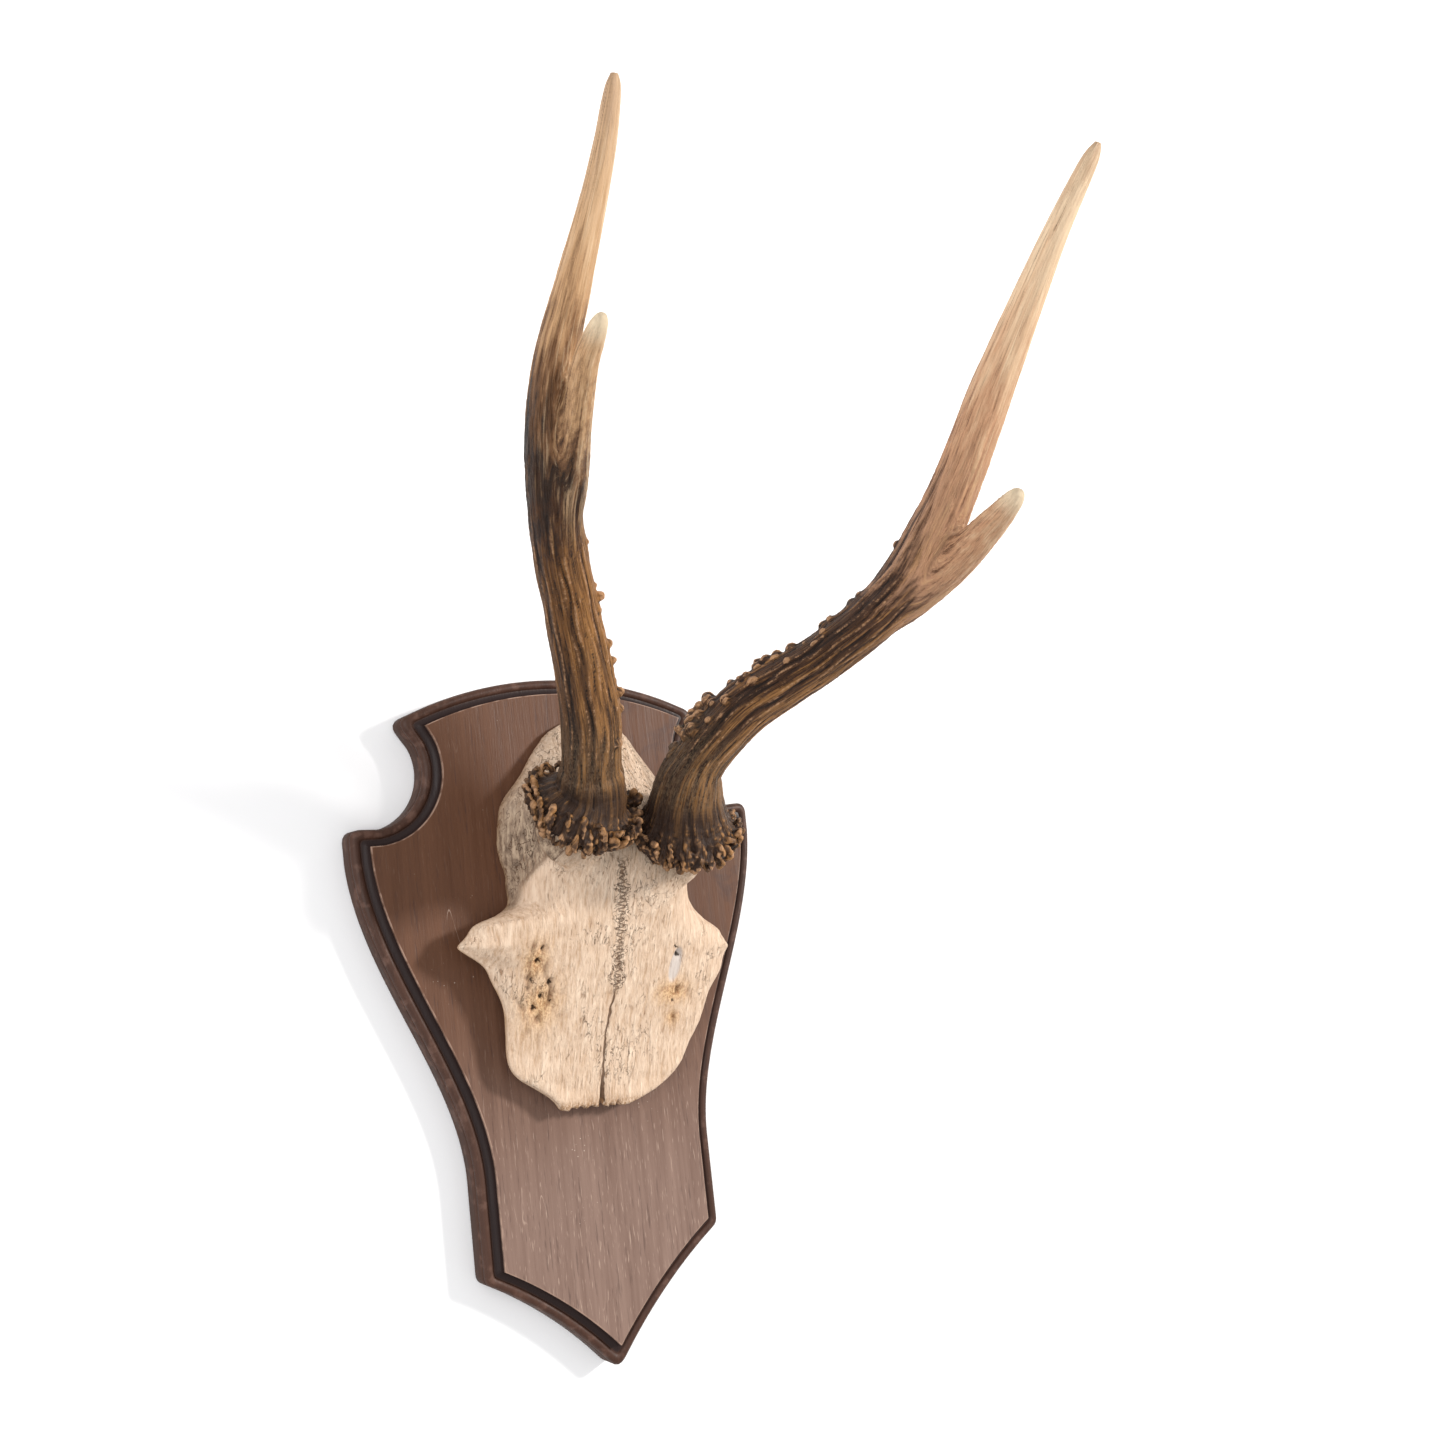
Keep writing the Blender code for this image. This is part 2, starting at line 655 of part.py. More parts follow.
def build_antler(side_name, place, facing, length, beam, tine, inward, look, bone_look):
    chance = random.Random(PEARL_SEED + len(side_name))
    origin = burr_centre(place)
    places, radii = smooth_path(beam, length, origin, BEAM_RINGS)
    parts = [
        build_pedicle(side_name + " pedicle", place, facing, bone_look),
        tube(side_name + " beam", places, radii, BEAM_SIDES, look, RIDGE_SHARE),
        build_burr(side_name + " burr", place, facing, 0.6 * len(side_name), look),
    ]
    tine_places, tine_radii = smooth_path(tine, length, origin, TINE_RINGS)
    parts.append(tube(side_name + " tine", tine_places, tine_radii, TINE_SIDES, look, 0.0))
    parts.append(build_pearls(side_name + " pearls", places, radii, inward, chance, look))
    return parts


def main():
    clear_scene()
    wood = material("dark stained wood", (0.16, 0.085, 0.065), 0.5)
    bone = material("weathered bone", (0.73, 0.58, 0.40), 0.75)
    horn = material("antler", (0.20, 0.115, 0.05), 0.6)
    build_shield(wood)
    skull = build_skull_shell(bone)
    skull.data.materials.append(horn)
    left = build_antler("left", LEFT_BURR_PLACE, LEFT_BURR_FACING, LEFT_ANTLER_LENGTH,
                        LEFT_BEAM, LEFT_TINE, LEFT_PEARL_ANGLE, horn, bone)
    right = build_antler("right", RIGHT_BURR_PLACE, RIGHT_BURR_FACING, RIGHT_ANTLER_LENGTH,
                         RIGHT_BEAM, RIGHT_TINE, RIGHT_PEARL_ANGLE, horn, bone)
    unite(skull, left + right)


main()
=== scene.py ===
"""Looks of the mounted roe deer antlers: shield, skull and antlers with procedural materials."""
import math
import random

import bmesh
import bpy
import numpy as np
from mathutils import Matrix, Vector, noise

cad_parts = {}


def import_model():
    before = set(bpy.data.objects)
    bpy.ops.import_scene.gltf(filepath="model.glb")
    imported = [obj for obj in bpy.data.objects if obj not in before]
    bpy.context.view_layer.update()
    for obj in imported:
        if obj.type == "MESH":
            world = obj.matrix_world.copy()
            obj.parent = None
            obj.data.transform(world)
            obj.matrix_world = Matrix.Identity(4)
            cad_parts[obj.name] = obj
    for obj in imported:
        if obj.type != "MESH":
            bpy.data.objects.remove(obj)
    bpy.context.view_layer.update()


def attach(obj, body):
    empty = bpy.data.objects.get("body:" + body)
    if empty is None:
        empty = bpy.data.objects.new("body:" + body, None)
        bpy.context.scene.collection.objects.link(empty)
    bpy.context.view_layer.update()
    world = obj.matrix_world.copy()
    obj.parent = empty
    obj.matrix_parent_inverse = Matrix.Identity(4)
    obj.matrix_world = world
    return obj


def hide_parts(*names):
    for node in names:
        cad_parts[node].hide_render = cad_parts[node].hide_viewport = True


# Camera that took the photograph, and the room
PHOTO_SIZE = 1445
FOCAL_PIXELS = 1400
SENSOR_WIDTH = 36.0
CAMERA_PLACE = (-0.2119, -0.4143, -0.0307)
CAMERA_RIGHT = (0.82779, -0.54958, -0.11279)
CAMERA_DOWN = (-0.02609, 0.16312, -0.98626)
CAMERA_FORWARD = (0.56043, 0.81936, 0.12069)
WALL_GAP = 0.0006
WALL_LIGHT_REACH = 0.012
WALL_SIZE = 6.0

# Shield
CORNER_HALF_WIDTH = 0.0362
CORNER_HEIGHT = 0.0304
NOTCH_CENTRE_HALF_WIDTH = 0.0645
NOTCH_CENTRE_HEIGHT = 0.1825
NOTCH_RADIUS = 0.0227
NOTCH_LOWER_ANGLE = math.radians(-85)
NOTCH_UPPER_ANGLE = math.radians(144)
CROWN_RISE_HEIGHT = 0.0091
BOARD_THICKNESS = 0.011
LOWER_EDGE_DEPTH = 0.0018
SIDE_STRAIGHT_SHARE = 0.2
HANGING_HEIGHT = 0.165
MOULDING_WIDTH = 0.0052
LIP_HEIGHT = 0.0014
ROLL_RADIUS = 0.0016
ROLL_DEPTH = 0.0024
GROOVE_DEPTH = 0.0005
BEAD_WIDTH = 0.0006
OUTER_CORNER_RADIUS = 0.0035
CORNER_LENGTH = 0.004
CORNER_STEPS = 7
RECESS_RADIUS = 0.0045
RECESS_DEPTH = 0.007
RECESS_HEIGHT = 0.015

# Skull
SKULL_LENGTH = 0.123
SKULL_WALL_THICKNESS = 0.003
SKULL_ANGLE = math.radians(4.5)
NOSE_END_HEIGHT = 0.0725
CONTACT_GAP = 0.0003
PEDICLE_SWELL_HEIGHT = 0.010
PEDICLE_SWELL_RADIUS = 0.014
# Stations in hundredths of the skull's length: along, half width left and right, rim height, crown height
SKULL_STATIONS = [
    (0.0, 13.0, 7.0, 4.0, 5.0),
    (3.0, 15.5, 14.0, 4.5, 5.5),
    (6.0, 19.5, 19.0, 4.5, 6.0),
    (9.0, 24.5, 22.0, 5.0, 6.7),
    (14.0, 27.5, 25.0, 5.0, 7.7),
    (20.0, 28.0, 28.5, 5.5, 9.5),
    (27.5, 29.0, 31.5, 6.0, 12.0),
    (33.5, 32.0, 35.5, 6.0, 14.0),
    (36.5, 33.5, 36.4, 6.0, 15.0),
    (38.2, 35.8, 37.3, 6.3, 15.5),
    (39.3, 37.7, 38.0, 6.5, 15.8),
    (40.4, 39.4, 37.2, 6.5, 16.1),
    (41.6, 41.0, 36.3, 6.5, 16.5),
    (42.6, 40.0, 35.5, 6.7, 16.8),
    (44.0, 38.6, 34.3, 7.0, 17.2),
    (47.0, 36.0, 29.5, 7.0, 18.0),
    (49.5, 29.0, 27.5, 5.0, 18.6),
    (53.0, 25.0, 26.5, 1.5, 19.4),
    (58.0, 25.0, 26.0, 0.0, 20.0),
    (65.0, 27.0, 27.0, 0.0, 20.5),
    (75.5, 26.5, 25.0, 0.0, 18.5),
    (85.5, 20.0, 18.5, 0.0, 13.5),
    (92.0, 16.0, 14.0, 0.0, 9.5),
    (97.5, 11.0, 10.0, 0.0, 5.5),
    (100.0, 6.5, 5.5, 0.0, 3.0),
]
# Half width of the raised forehead plate behind the eye sockets: along, left, right
PLATE_STATIONS = [(47.0, 42.0, 42.0), (51.0, 25.0, 28.0), (57.0, 22.4, 25.0), (62.0, 20.0, 22.5),
                  (67.0, 18.0, 20.0), (80.0, 10.0, 10.0)]
PLATE_FADE = (0.62, 0.80)
TEMPLE_DEPTH_SHARE = 0.36
SKULL_VOXEL = 0.00057
LEAST_SKULL_EDGE = 0.0015
# Where the suture and the crack below it run, in millimetres: along, across
SUTURE_LINE = [(-2, -2.0), (10, -2.0), (20, -2.2), (28, -2.0), (33, -1.2), (38, -0.8), (50, -1.2), (60, -2.0),
               (73, -3.4)]
# Holes where vessels leave the bone, in millimetres: across, along, radius and depth
BONE_HOLES = [
    (-26.5, 49.6, 0.9, 1.6),
    (-27.8, 46.0, 0.8, 1.5),
    (-23.2, 39.4, 0.9, 1.8),
    (-28.4, 40.2, 0.7, 1.2),
    (-25.6, 35.6, 0.7, 1.1),
    (-27.2, 32.0, 0.9, 1.8),
    (-22.0, 33.8, 0.5, 1.0),
    (21.0, 46.2, 0.8, 1.8),
    (19.6, 48.6, 0.6, 0.9),
    (21.5, 31.5, 0.6, 0.9),
]
# Worn, porous places in millimetres: across, along, half width and half length
WORN_PLACES = [(-25.5, 33.5, 6.0, 8.5), (-28.0, 45.5, 4.0, 7.0), (21.0, 34.5, 7.0, 4.2),
               (22.0, 26.5, 3.0, 2.6)]
# The grey, smooth patch: across, along, half width and half length
SLATE_PLACE = (20.5, 43.0, 2.3, 5.5)

# Antlers: stations in hundredths of the length along the beam: right, forward, up, radius
LEFT_ANTLER_LENGTH = 0.2085
LEFT_BEAM = [
    (0.0, 0.0, 0.0, 4.7),
    (0.5, 1.8, 2.1, 4.5),
    (-0.6, 5.0, 6.0, 4.1),
    (-2.3, 9.2, 11.0, 4.1),
    (-4.9, 13.5, 15.9, 3.9),
    (-10.3, 21.4, 24.0, 3.5),
    (-15.2, 28.9, 30.4, 3.3),
    (-20.0, 38.1, 38.2, 3.0),
    (-22.5, 45.5, 45.3, 2.5),
    (-22.7, 51.9, 52.4, 2.0),
    (-22.2, 57.2, 59.6, 1.5),
    (-22.1, 60.5, 64.2, 1.25),
    (-22.3, 62.7, 67.2, 1.05),
    (-22.4, 63.9, 68.9, 0.8),
    (-22.5, 64.5, 69.8, 0.4),
]
LEFT_TINE = [
    (-15.5, 30.0, 31.0, 2.4),
    (-17.2, 36.3, 35.7, 2.4),
    (-19.8, 44.0, 39.0, 1.8),
    (-21.7, 50.7, 43.4, 1.5),
    (-22.1, 54.0, 45.4, 1.25),
    (-22.3, 56.1, 46.5, 0.9),
    (-22.3, 56.9, 47.0, 0.4),
]
RIGHT_ANTLER_LENGTH = 0.2362
RIGHT_BEAM = [
    (0.0, 0.0, 0.0, 4.6),
    (-1.1, 3.7, 5.3, 4.0),
    (-0.3, 6.5, 8.8, 3.4),
    (3.1, 11.7, 13.9, 3.5),
    (7.4, 16.1, 16.8, 3.2),
    (11.5, 20.4, 19.6, 3.1),
    (17.1, 27.3, 25.2, 3.3),
    (19.7, 33.3, 32.0, 3.2),
    (20.9, 37.8, 38.0, 2.9),
    (21.9, 44.0, 46.7, 2.6),
    (21.6, 51.4, 54.3, 2.0),
    (21.5, 57.0, 60.0, 1.5),
    (22.5, 61.0, 65.0, 1.15),
    (23.1, 62.4, 67.0, 0.9),
    (23.5, 63.2, 68.2, 0.4),
]
RIGHT_TINE = [
    (14.5, 23.0, 22.0, 2.6),
    (18.3, 27.5, 24.5, 2.7),
    (20.4, 33.0, 27.0, 2.5),
    (20.8, 38.3, 29.0, 2.1),
    (20.8, 42.5, 30.8, 1.7),
    (20.7, 45.7, 32.2, 1.25),
    (20.8, 46.8, 32.9, 0.85),
    (20.8, 47.2, 33.2, 0.4),
]
LEFT_BURR_PLACE = (-15.9, 74.2, 26.8)
RIGHT_BURR_PLACE = (13.3, 69.0, 26.8)
LEFT_BURR_FACING = (0.12, -0.70, 0.70)
RIGHT_BURR_FACING = (-0.16, -0.58, 0.80)
BURR_RADIUS = 0.0158
PEDICLE_RADIUS = 0.0120
PEDICLE_NECK_RADIUS = 0.0100
PEDICLE_LENGTH = 0.009
PEDICLE_FOOT_SHARE = 0.7
BURR_SIDES = 160
CURL_STEPS = 420
ANTLER_VOXEL = 0.00048
HUNDREDTH = 0.01
FULL_TURN = 6.28

# Burr plates along their axis, as shares of the burr's radius: rise and reach
BURR_UNDERSIDE = [(-0.42, 0.40), (-0.38, 0.66), (-0.28, 0.84), (-0.14, 0.94), (0.00, 0.96)]
LEFT_BURR_TOP = [(0.08, 0.92), (0.15, 0.84), (0.24, 0.76), (0.36, 0.70), (0.55, 0.645), (0.80, 0.60),
                 (1.0, 0.52)]
RIGHT_BURR_TOP = [(0.10, 0.93), (0.24, 0.86), (0.42, 0.79), (0.66, 0.72), (0.95, 0.66), (1.25, 0.60),
                  (1.5, 0.52)]

# Pearls that stand out: share along the beam, degrees round it from the photo's viewpoint (right positive),
# radius in millimetres, stretch and how far they stand off in millimetres
LEFT_PEARLS = [
    (0.447, 88, 0.9, 1.2, 0.0), (0.352, 92, 1.4, 1.4, 0.6), (0.335, 80, 1.0, 1.1, 0.0),
    (0.300, 72, 0.8, 1.1, 0.1), (0.272, 90, 1.4, 1.2, 0.4), (0.245, 88, 1.2, 1.3, 0.5),
    (0.188, 86, 1.5, 1.3, 0.6), (0.162, 90, 1.2, 1.1, 0.3), (0.125, 56, 1.6, 1.2, 0.3),
]
RIGHT_PEARLS = [
    (0.490, -88, 1.2, 1.2, 0.2), (0.400, -84, 1.5, 0.9, 0.2), (0.385, -92, 1.5, 0.9, 0.4),
    (0.352, -84, 1.6, 0.9, 0.4), (0.340, -92, 1.6, 0.9, 0.6), (0.337, -52, 1.1, 1.1, 0.2),
    (0.318, -40, 1.0, 1.1, 0.2), (0.285, -86, 1.8, 0.9, 0.6), (0.275, -39, 1.3, 1.1, 0.3),
    (0.268, -96, 1.7, 1.0, 1.0), (0.262, -76, 1.5, 1.0, 0.4), (0.250, -88, 2.0, 1.0, 1.1),
    (0.238, -100, 1.8, 1.0, 1.6), (0.234, -80, 1.7, 1.0, 0.6), (0.225, -37, 1.7, 1.1, 0.4),
    (0.222, -60, 1.6, 1.1, 0.4), (0.212, -64, 1.3, 1.1, 0.3), (0.200, -88, 1.4, 1.0, 0.3),
    (0.188, -40, 1.7, 1.2, 0.5), (0.172, -66, 1.6, 1.1, 0.3), (0.170, -88, 2.0, 1.0, 1.6),
    (0.168, -106, 2.0, 1.0, 2.6), (0.156, -116, 1.9, 1.0, 3.4), (0.144, -112, 2.0, 1.0, 3.2),
    (0.136, -98, 2.1, 1.0, 2.4), (0.138, -82, 2.2, 1.0, 1.4), (0.160, -38, 1.3, 1.1, 0.3),
    (0.152, -72, 1.9, 1.0, 0.9), (0.134, -60, 2.5, 1.2, 0.7), (0.122, -68, 2.1, 1.1, 0.8),
    (0.120, -98, 1.6, 1.8, 2.4), (0.100, -90, 2.2, 1.0, 0.7), (0.092, -80, 1.6, 1.0, 0.3),
    (0.084, -88, 1.4, 1.0, 0.2),
]

# Tones along each antler, from burr to tip: share along and screen colour
LEFT_TONES = [(0.0, (62, 40, 23)), (0.10, (74, 49, 29)), (0.22, (90, 59, 31)), (0.38, (118, 77, 36)),
              (0.50, (72, 43, 20)), (0.60, (44, 26, 12)), (0.68, (118, 82, 52)), (0.78, (192, 150, 108)),
              (0.90, (208, 170, 130)), (1.0, (198, 162, 128))]
RIGHT_TONES = [(0.0, (60, 38, 22)), (0.10, (56, 34, 18)), (0.22, (68, 42, 24)), (0.36, (64, 40, 23)),
               (0.46, (82, 54, 36)), (0.54, (172, 130, 100)), (0.65, (192, 145, 110)),
               (0.80, (216, 180, 144)), (0.92, (226, 198, 164)), (1.0, (200, 166, 132))]

# Lights: place, size, power and colour
KEY_LIGHT = ((1.1, -1.0, 0.30), 0.20, 21.5, (1.0, 0.965, 0.93))
FILL_LIGHT = ((-1.0, -1.2, 0.2), 1.2, 16.0, (0.98, 0.98, 1.0))
SKY_STRENGTH = 0.60


# Shared tools

def add_object(name, data):
    made = bpy.data.objects.new(name, data)
    bpy.context.scene.collection.objects.link(made)
    return made


def new_object(name, points, faces):
    mesh = bpy.data.meshes.new(name)
    mesh.from_pydata([tuple(p) for p in points], [], faces)
    return add_object(name, mesh)


def closed_object(name, points, faces):
    """A closed mesh whose faces all look outwards."""
    made = new_object(name, points, faces)
    work = bmesh.new()
    work.from_mesh(made.data)
    bmesh.ops.recalc_face_normals(work, faces=work.faces)
    work.to_mesh(made.data)
    work.free()
    return made


def tube(name, points, rings, sides):
    """A closed tube through rings of points, with flat ends."""
    return closed_object(name, points, tube_faces(rings, sides))


def apply_modifiers(thing):
    """Replaces the thing's mesh by what its modifiers make of it."""
    seen = thing.evaluated_get(bpy.context.evaluated_depsgraph_get())
    shaped = bpy.data.meshes.new_from_object(seen)
    thing.modifiers.clear()
    thing.data = shaped
    shaped.shade_smooth()


def store(thing, name, values):
    """Keeps one number for each point of the mesh, for its material to read."""
    layer = thing.data.attributes.new(name, "FLOAT", "POINT")
    layer.data.foreach_set("value", np.asarray(values, dtype=np.float32))


def store_vector(thing, name, values):
    layer = thing.data.attributes.new(name, "FLOAT_VECTOR", "POINT")
    layer.data.foreach_set("vector", np.asarray(values, dtype=np.float32).ravel())


def vectors(mesh, name):
    """One row for each point: its place for the name "co", its direction out of the mesh for "normal"."""
    flat = np.empty(len(mesh.vertices) * 3, dtype=np.float32)
    mesh.vertices.foreach_get(name, flat)
    return flat.reshape(-1, 3).astype(float)


def move_points(mesh, points):
    mesh.vertices.foreach_set("co", np.asarray(points, dtype=np.float32).ravel())
    mesh.update()


def neighbour_mean(mesh, values):
    """Mean of each point's neighbours along the mesh's edges."""
    pairs = np.empty(len(mesh.edges) * 2, dtype=np.int32)
    mesh.edges.foreach_get("vertices", pairs)
    first, second = pairs.reshape(-1, 2).T
    count = np.bincount(first, minlength=len(values)) + np.bincount(second, minlength=len(values))
    columns = values.reshape(len(values), -1)
    means = [(np.bincount(first, columns[second, axis], len(values))
              + np.bincount(second, columns[first, axis], len(values))) / count
             for axis in range(columns.shape[1])]
    return np.column_stack(means).reshape(values.shape)


def relax(mesh, weights, rounds):
    """Smooths a mesh where its weights are above 0."""
    points = vectors(mesh, "co")
    for _ in range(rounds):
        points += (neighbour_mean(mesh, points) - points) * (0.6 * weights)[:, None]
    move_points(mesh, points)


def crests(mesh, spacing, rounds):
    """Above 0 on knobs and ridges and below 0 in hollows; about 1 on a knob of a millimetre or two."""
    points = vectors(mesh, "co")
    bulge = ((points - neighbour_mean(mesh, points)) * vectors(mesh, "normal")).sum(axis=1) / spacing * 10
    for _ in range(rounds):
        bulge = 0.5 * bulge + 0.5 * neighbour_mean(mesh, bulge)
    return bulge


def fuse(name, parts, voxel, smoothing):
    """Joins overlapping closed meshes into one even skin and smooths the seams."""
    work = bmesh.new()
    for part in parts:
        work.from_mesh(part.data)
        bpy.data.objects.remove(part)
    mesh = bpy.data.meshes.new(name)
    work.to_mesh(mesh)
    work.free()
    thing = add_object(name, mesh)
    remesh = thing.modifiers.new("Even skin", "REMESH")
    remesh.mode = "VOXEL"
    remesh.voxel_size = voxel
    smooth = thing.modifiers.new("Smooth seams", "SMOOTH")
    smooth.factor = 0.5
    smooth.iterations = smoothing
    apply_modifiers(thing)
    thing.data.name = name
    return thing


def tube_faces(rings, sides):
    faces = [tuple(range(sides))]
    for level in range(rings - 1):
        for step in range(sides):
            a = level * sides + step
            b = level * sides + (step + 1) % sides
            faces.append((a, b, b + sides, a + sides))
    faces.append(tuple(range(rings * sides - 1, (rings - 1) * sides - 1, -1)))
    return faces


def between(value, low, high):
    """0 below low, 1 above high and a smooth rise in the middle."""
    share = np.clip((np.asarray(value, dtype=float) - low) / (high - low), 0.0, 1.0)
    return share * share * (3 - 2 * share)


def run_lengths(points):
    """Length along a line of points, at each of them."""
    return np.concatenate([[0.0], np.cumsum(np.linalg.norm(np.diff(points, axis=0), axis=1))])


def values_at(wanted, keys, table):
    """Every column of a table at the wanted keys, straight between its rows."""
    return np.column_stack([np.interp(wanted, keys, column) for column in table.T])


# Shield

def notch_point(turn):
    return (NOTCH_CENTRE_HALF_WIDTH + NOTCH_RADIUS * math.cos(turn),
            NOTCH_CENTRE_HEIGHT + NOTCH_RADIUS * math.sin(turn))


def lower_edge(count):
    """From the tip to the lower corner, slightly hollow."""
    end = np.array([CORNER_HALF_WIDTH, CORNER_HEIGHT])
    across = np.array([-end[1], end[0]]) / np.linalg.norm(end)
    shares = np.linspace(0.0, 1.0, count)
    hollow = 4 * LOWER_EDGE_DEPTH * shares * (1 - shares)
    return shares[:, None] * end + hollow[:, None] * across


def side_edge(count):
    shoulder_half_width, shoulder_height = notch_point(NOTCH_LOWER_ANGLE)
    shares = np.linspace(0.0, 1.0, count)
    eased = between(shares, SIDE_STRAIGHT_SHARE, 1.0)
    half_widths = CORNER_HALF_WIDTH + (shoulder_half_width - CORNER_HALF_WIDTH) * eased
    return np.column_stack([half_widths, CORNER_HEIGHT + (shoulder_height - CORNER_HEIGHT) * shares])


def notch_edge(count):
    turns = np.linspace(NOTCH_LOWER_ANGLE, NOTCH_UPPER_ANGLE - 2 * math.pi, count)
    return np.array([notch_point(turn) for turn in turns])


def crown_edge(count):
    half_width, corner_height = notch_point(NOTCH_UPPER_ANGLE)
    radius = (half_width ** 2 + CROWN_RISE_HEIGHT ** 2) / (2 * CROWN_RISE_HEIGHT)
    centre_height = corner_height + CROWN_RISE_HEIGHT - radius
    half_sweep = math.asin(half_width / radius)
    turns = np.linspace(half_sweep, -half_sweep, count)
    return np.column_stack([radius * np.sin(turns), centre_height + radius * np.cos(turns)])


def trimmed(edge_function, count):
    """An edge without the corners at its ends, with its headings."""
    fine = edge_function(600)
    lengths = run_lengths(fine)
    wanted = np.linspace(CORNER_LENGTH, lengths[-1] - CORNER_LENGTH, count)
    slopes = np.gradient(fine, lengths, axis=0)
    return {
        "points": values_at(wanted, lengths, fine),
        "headings": values_at(wanted, lengths, slopes),
        "ends": fine[[0, -1]],
        "end_headings": slopes[[0, -1]],
    }


def mirrored_trim(edge):
    flip = np.array([-1, 1])
    return {
        "points": (edge["points"] * flip)[::-1],
        "headings": (edge["headings"] * -flip)[::-1],
        "ends": (edge["ends"] * flip)[::-1],
        "end_headings": (edge["end_headings"] * -flip)[::-1],
    }


def outward(headings):
    across = np.column_stack([headings[:, 1], -headings[:, 0]])
    return across / np.linalg.norm(across, axis=1)[:, None]


def field_edges():
    right = [trimmed(lower_edge, 28), trimmed(side_edge, 90), trimmed(notch_edge, 64)]
    crown = trimmed(crown_edge, 80)
    return right + [crown] + [mirrored_trim(edge) for edge in reversed(right)]


def meeting_point(first, heading_1, second, heading_2):
    steps = np.linalg.solve(np.column_stack([heading_1, -heading_2]), second - first)
    return first + heading_1 * steps[0]


def corner_run(before, corner, after, radius):
    """Points round one corner, rounded by the radius."""
    way_in = (corner - before) / np.linalg.norm(corner - before)
    way_out = (after - corner) / np.linalg.norm(after - corner)
    turn = math.acos(max(-1.0, min(1.0, float(way_in @ way_out))))
    reach = 0.9 * min(np.linalg.norm(corner - before), np.linalg.norm(after - corner))
    setback = min(max(radius * math.tan(turn / 2), 1e-5), reach)
    start = corner - way_in * setback
    end = corner + way_out * setback
    fine = [before]
    for share in np.linspace(0.0, 1.0, 25):
        fine.append((1 - share) ** 2 * start + 2 * share * (1 - share) * corner + share ** 2 * end)
    fine.append(after)
    fine = np.array(fine)
    lengths = run_lengths(fine)
    half = lengths[len(lengths) // 2]
    first_half = np.linspace(0.0, half, CORNER_STEPS + 1)[1:]
    second_half = np.linspace(half, lengths[-1], CORNER_STEPS + 1)[1:-1]
    return values_at(np.concatenate([first_half, second_half]), lengths, fine)


def ring(edges, width):
    points = []
    radius = OUTER_CORNER_RADIUS * max(width, 0.0) / MOULDING_WIDTH
    for place, edge in enumerate(edges):
        before = edges[place - 1]
        last_of_before = before["points"][-1] + outward(before["headings"])[-1] * width
        first_of_this = edge["points"][0] + outward(edge["headings"])[0] * width
        end_1 = before["ends"][1] + outward(before["end_headings"])[1] * width
        end_2 = edge["ends"][0] + outward(edge["end_headings"])[0] * width
        corner = meeting_point(end_1, before["end_headings"][1], end_2, edge["end_headings"][0])
        points.extend(corner_run(last_of_before, corner, first_of_this, radius))
        points.extend(edge["points"] + outward(edge["headings"]) * width)
    return np.array(points)


def moulding_profile():
    """Distance out from the lip and height off the wall, from inside the field to the wall."""
    top = BOARD_THICKNESS
    lip_round = 0.00018
    profile = [(-0.0010, top), (-0.0005, top), (-lip_round, top), (-lip_round * 0.3, top - lip_round * 0.3)]
    profile.append((0.0, top - lip_round))
    lip_foot = top - LIP_HEIGHT
    roll_out = MOULDING_WIDTH - ROLL_RADIUS
    roll_height = top - ROLL_DEPTH - ROLL_RADIUS
    start_out = roll_out - ROLL_RADIUS * math.cos(math.radians(30))
    start_height = roll_height + ROLL_RADIUS / 2
    for lean in np.radians(np.linspace(0, 82, 9)):
        out = start_out * (1 - math.cos(lean))
        profile.append((out, lip_foot - (lip_foot - start_height) * math.sin(lean)))
    for lean in np.radians(np.linspace(150, -35, 17)):
        profile.append((roll_out + ROLL_RADIUS * math.cos(lean), roll_height + ROLL_RADIUS * math.sin(lean)))
    groove_height = roll_height - ROLL_RADIUS * 0.75
    profile.append((MOULDING_WIDTH - GROOVE_DEPTH, groove_height))
    profile.append((MOULDING_WIDTH - GROOVE_DEPTH * 0.3, groove_height - BEAD_WIDTH * 0.35))
    profile.append((MOULDING_WIDTH, groove_height - BEAD_WIDTH))
    profile.append((MOULDING_WIDTH, groove_height * 0.5))
    profile.append((MOULDING_WIDTH, 0.0004))
    profile.append((MOULDING_WIDTH - 0.0004, 0.0))
    return profile


def build_shield():
    """The board, with its edge's distance from the lip kept for the wood material."""
    edges = field_edges()
    profile = moulding_profile()
    points = []
    distances = []
    for width, height in profile:
        for across, up in ring(edges, width):
            points.append((across, -height, up - HANGING_HEIGHT))
            distances.append(width * 1000 + max(0.0, (BOARD_THICKNESS - height) * 100))
    shield = tube("shield_board", points, len(profile), len(points) // len(profile))
    store(shield, "lip_distance", distances)
    recess = recess_shape()
    cut = shield.modifiers.new("Hanging recess", "BOOLEAN")
    cut.operation = "DIFFERENCE"
    cut.object = recess
    cut.solver = "EXACT"
    apply_modifiers(shield)
    bpy.data.objects.remove(recess)
    colour_recess(shield.data, max(distances))
    shield.data.set_sharp_from_angle(angle=math.radians(38))
    return shield


def colour_recess(mesh, distance):
    """Gives the recess the same distance from the lip as the back, so that they look alike."""
    places = vectors(mesh, "co")
    inside = np.hypot(places[:, 0], places[:, 2] - RECESS_HEIGHT) < RECESS_RADIUS * 1.05
    inside &= places[:, 1] > -RECESS_DEPTH - CONTACT_GAP
    values = np.empty(len(places), dtype=np.float32)
    kept = mesh.attributes["lip_distance"].data
    kept.foreach_get("value", values)
    kept.foreach_set("value", np.where(inside, distance, values).astype(np.float32))


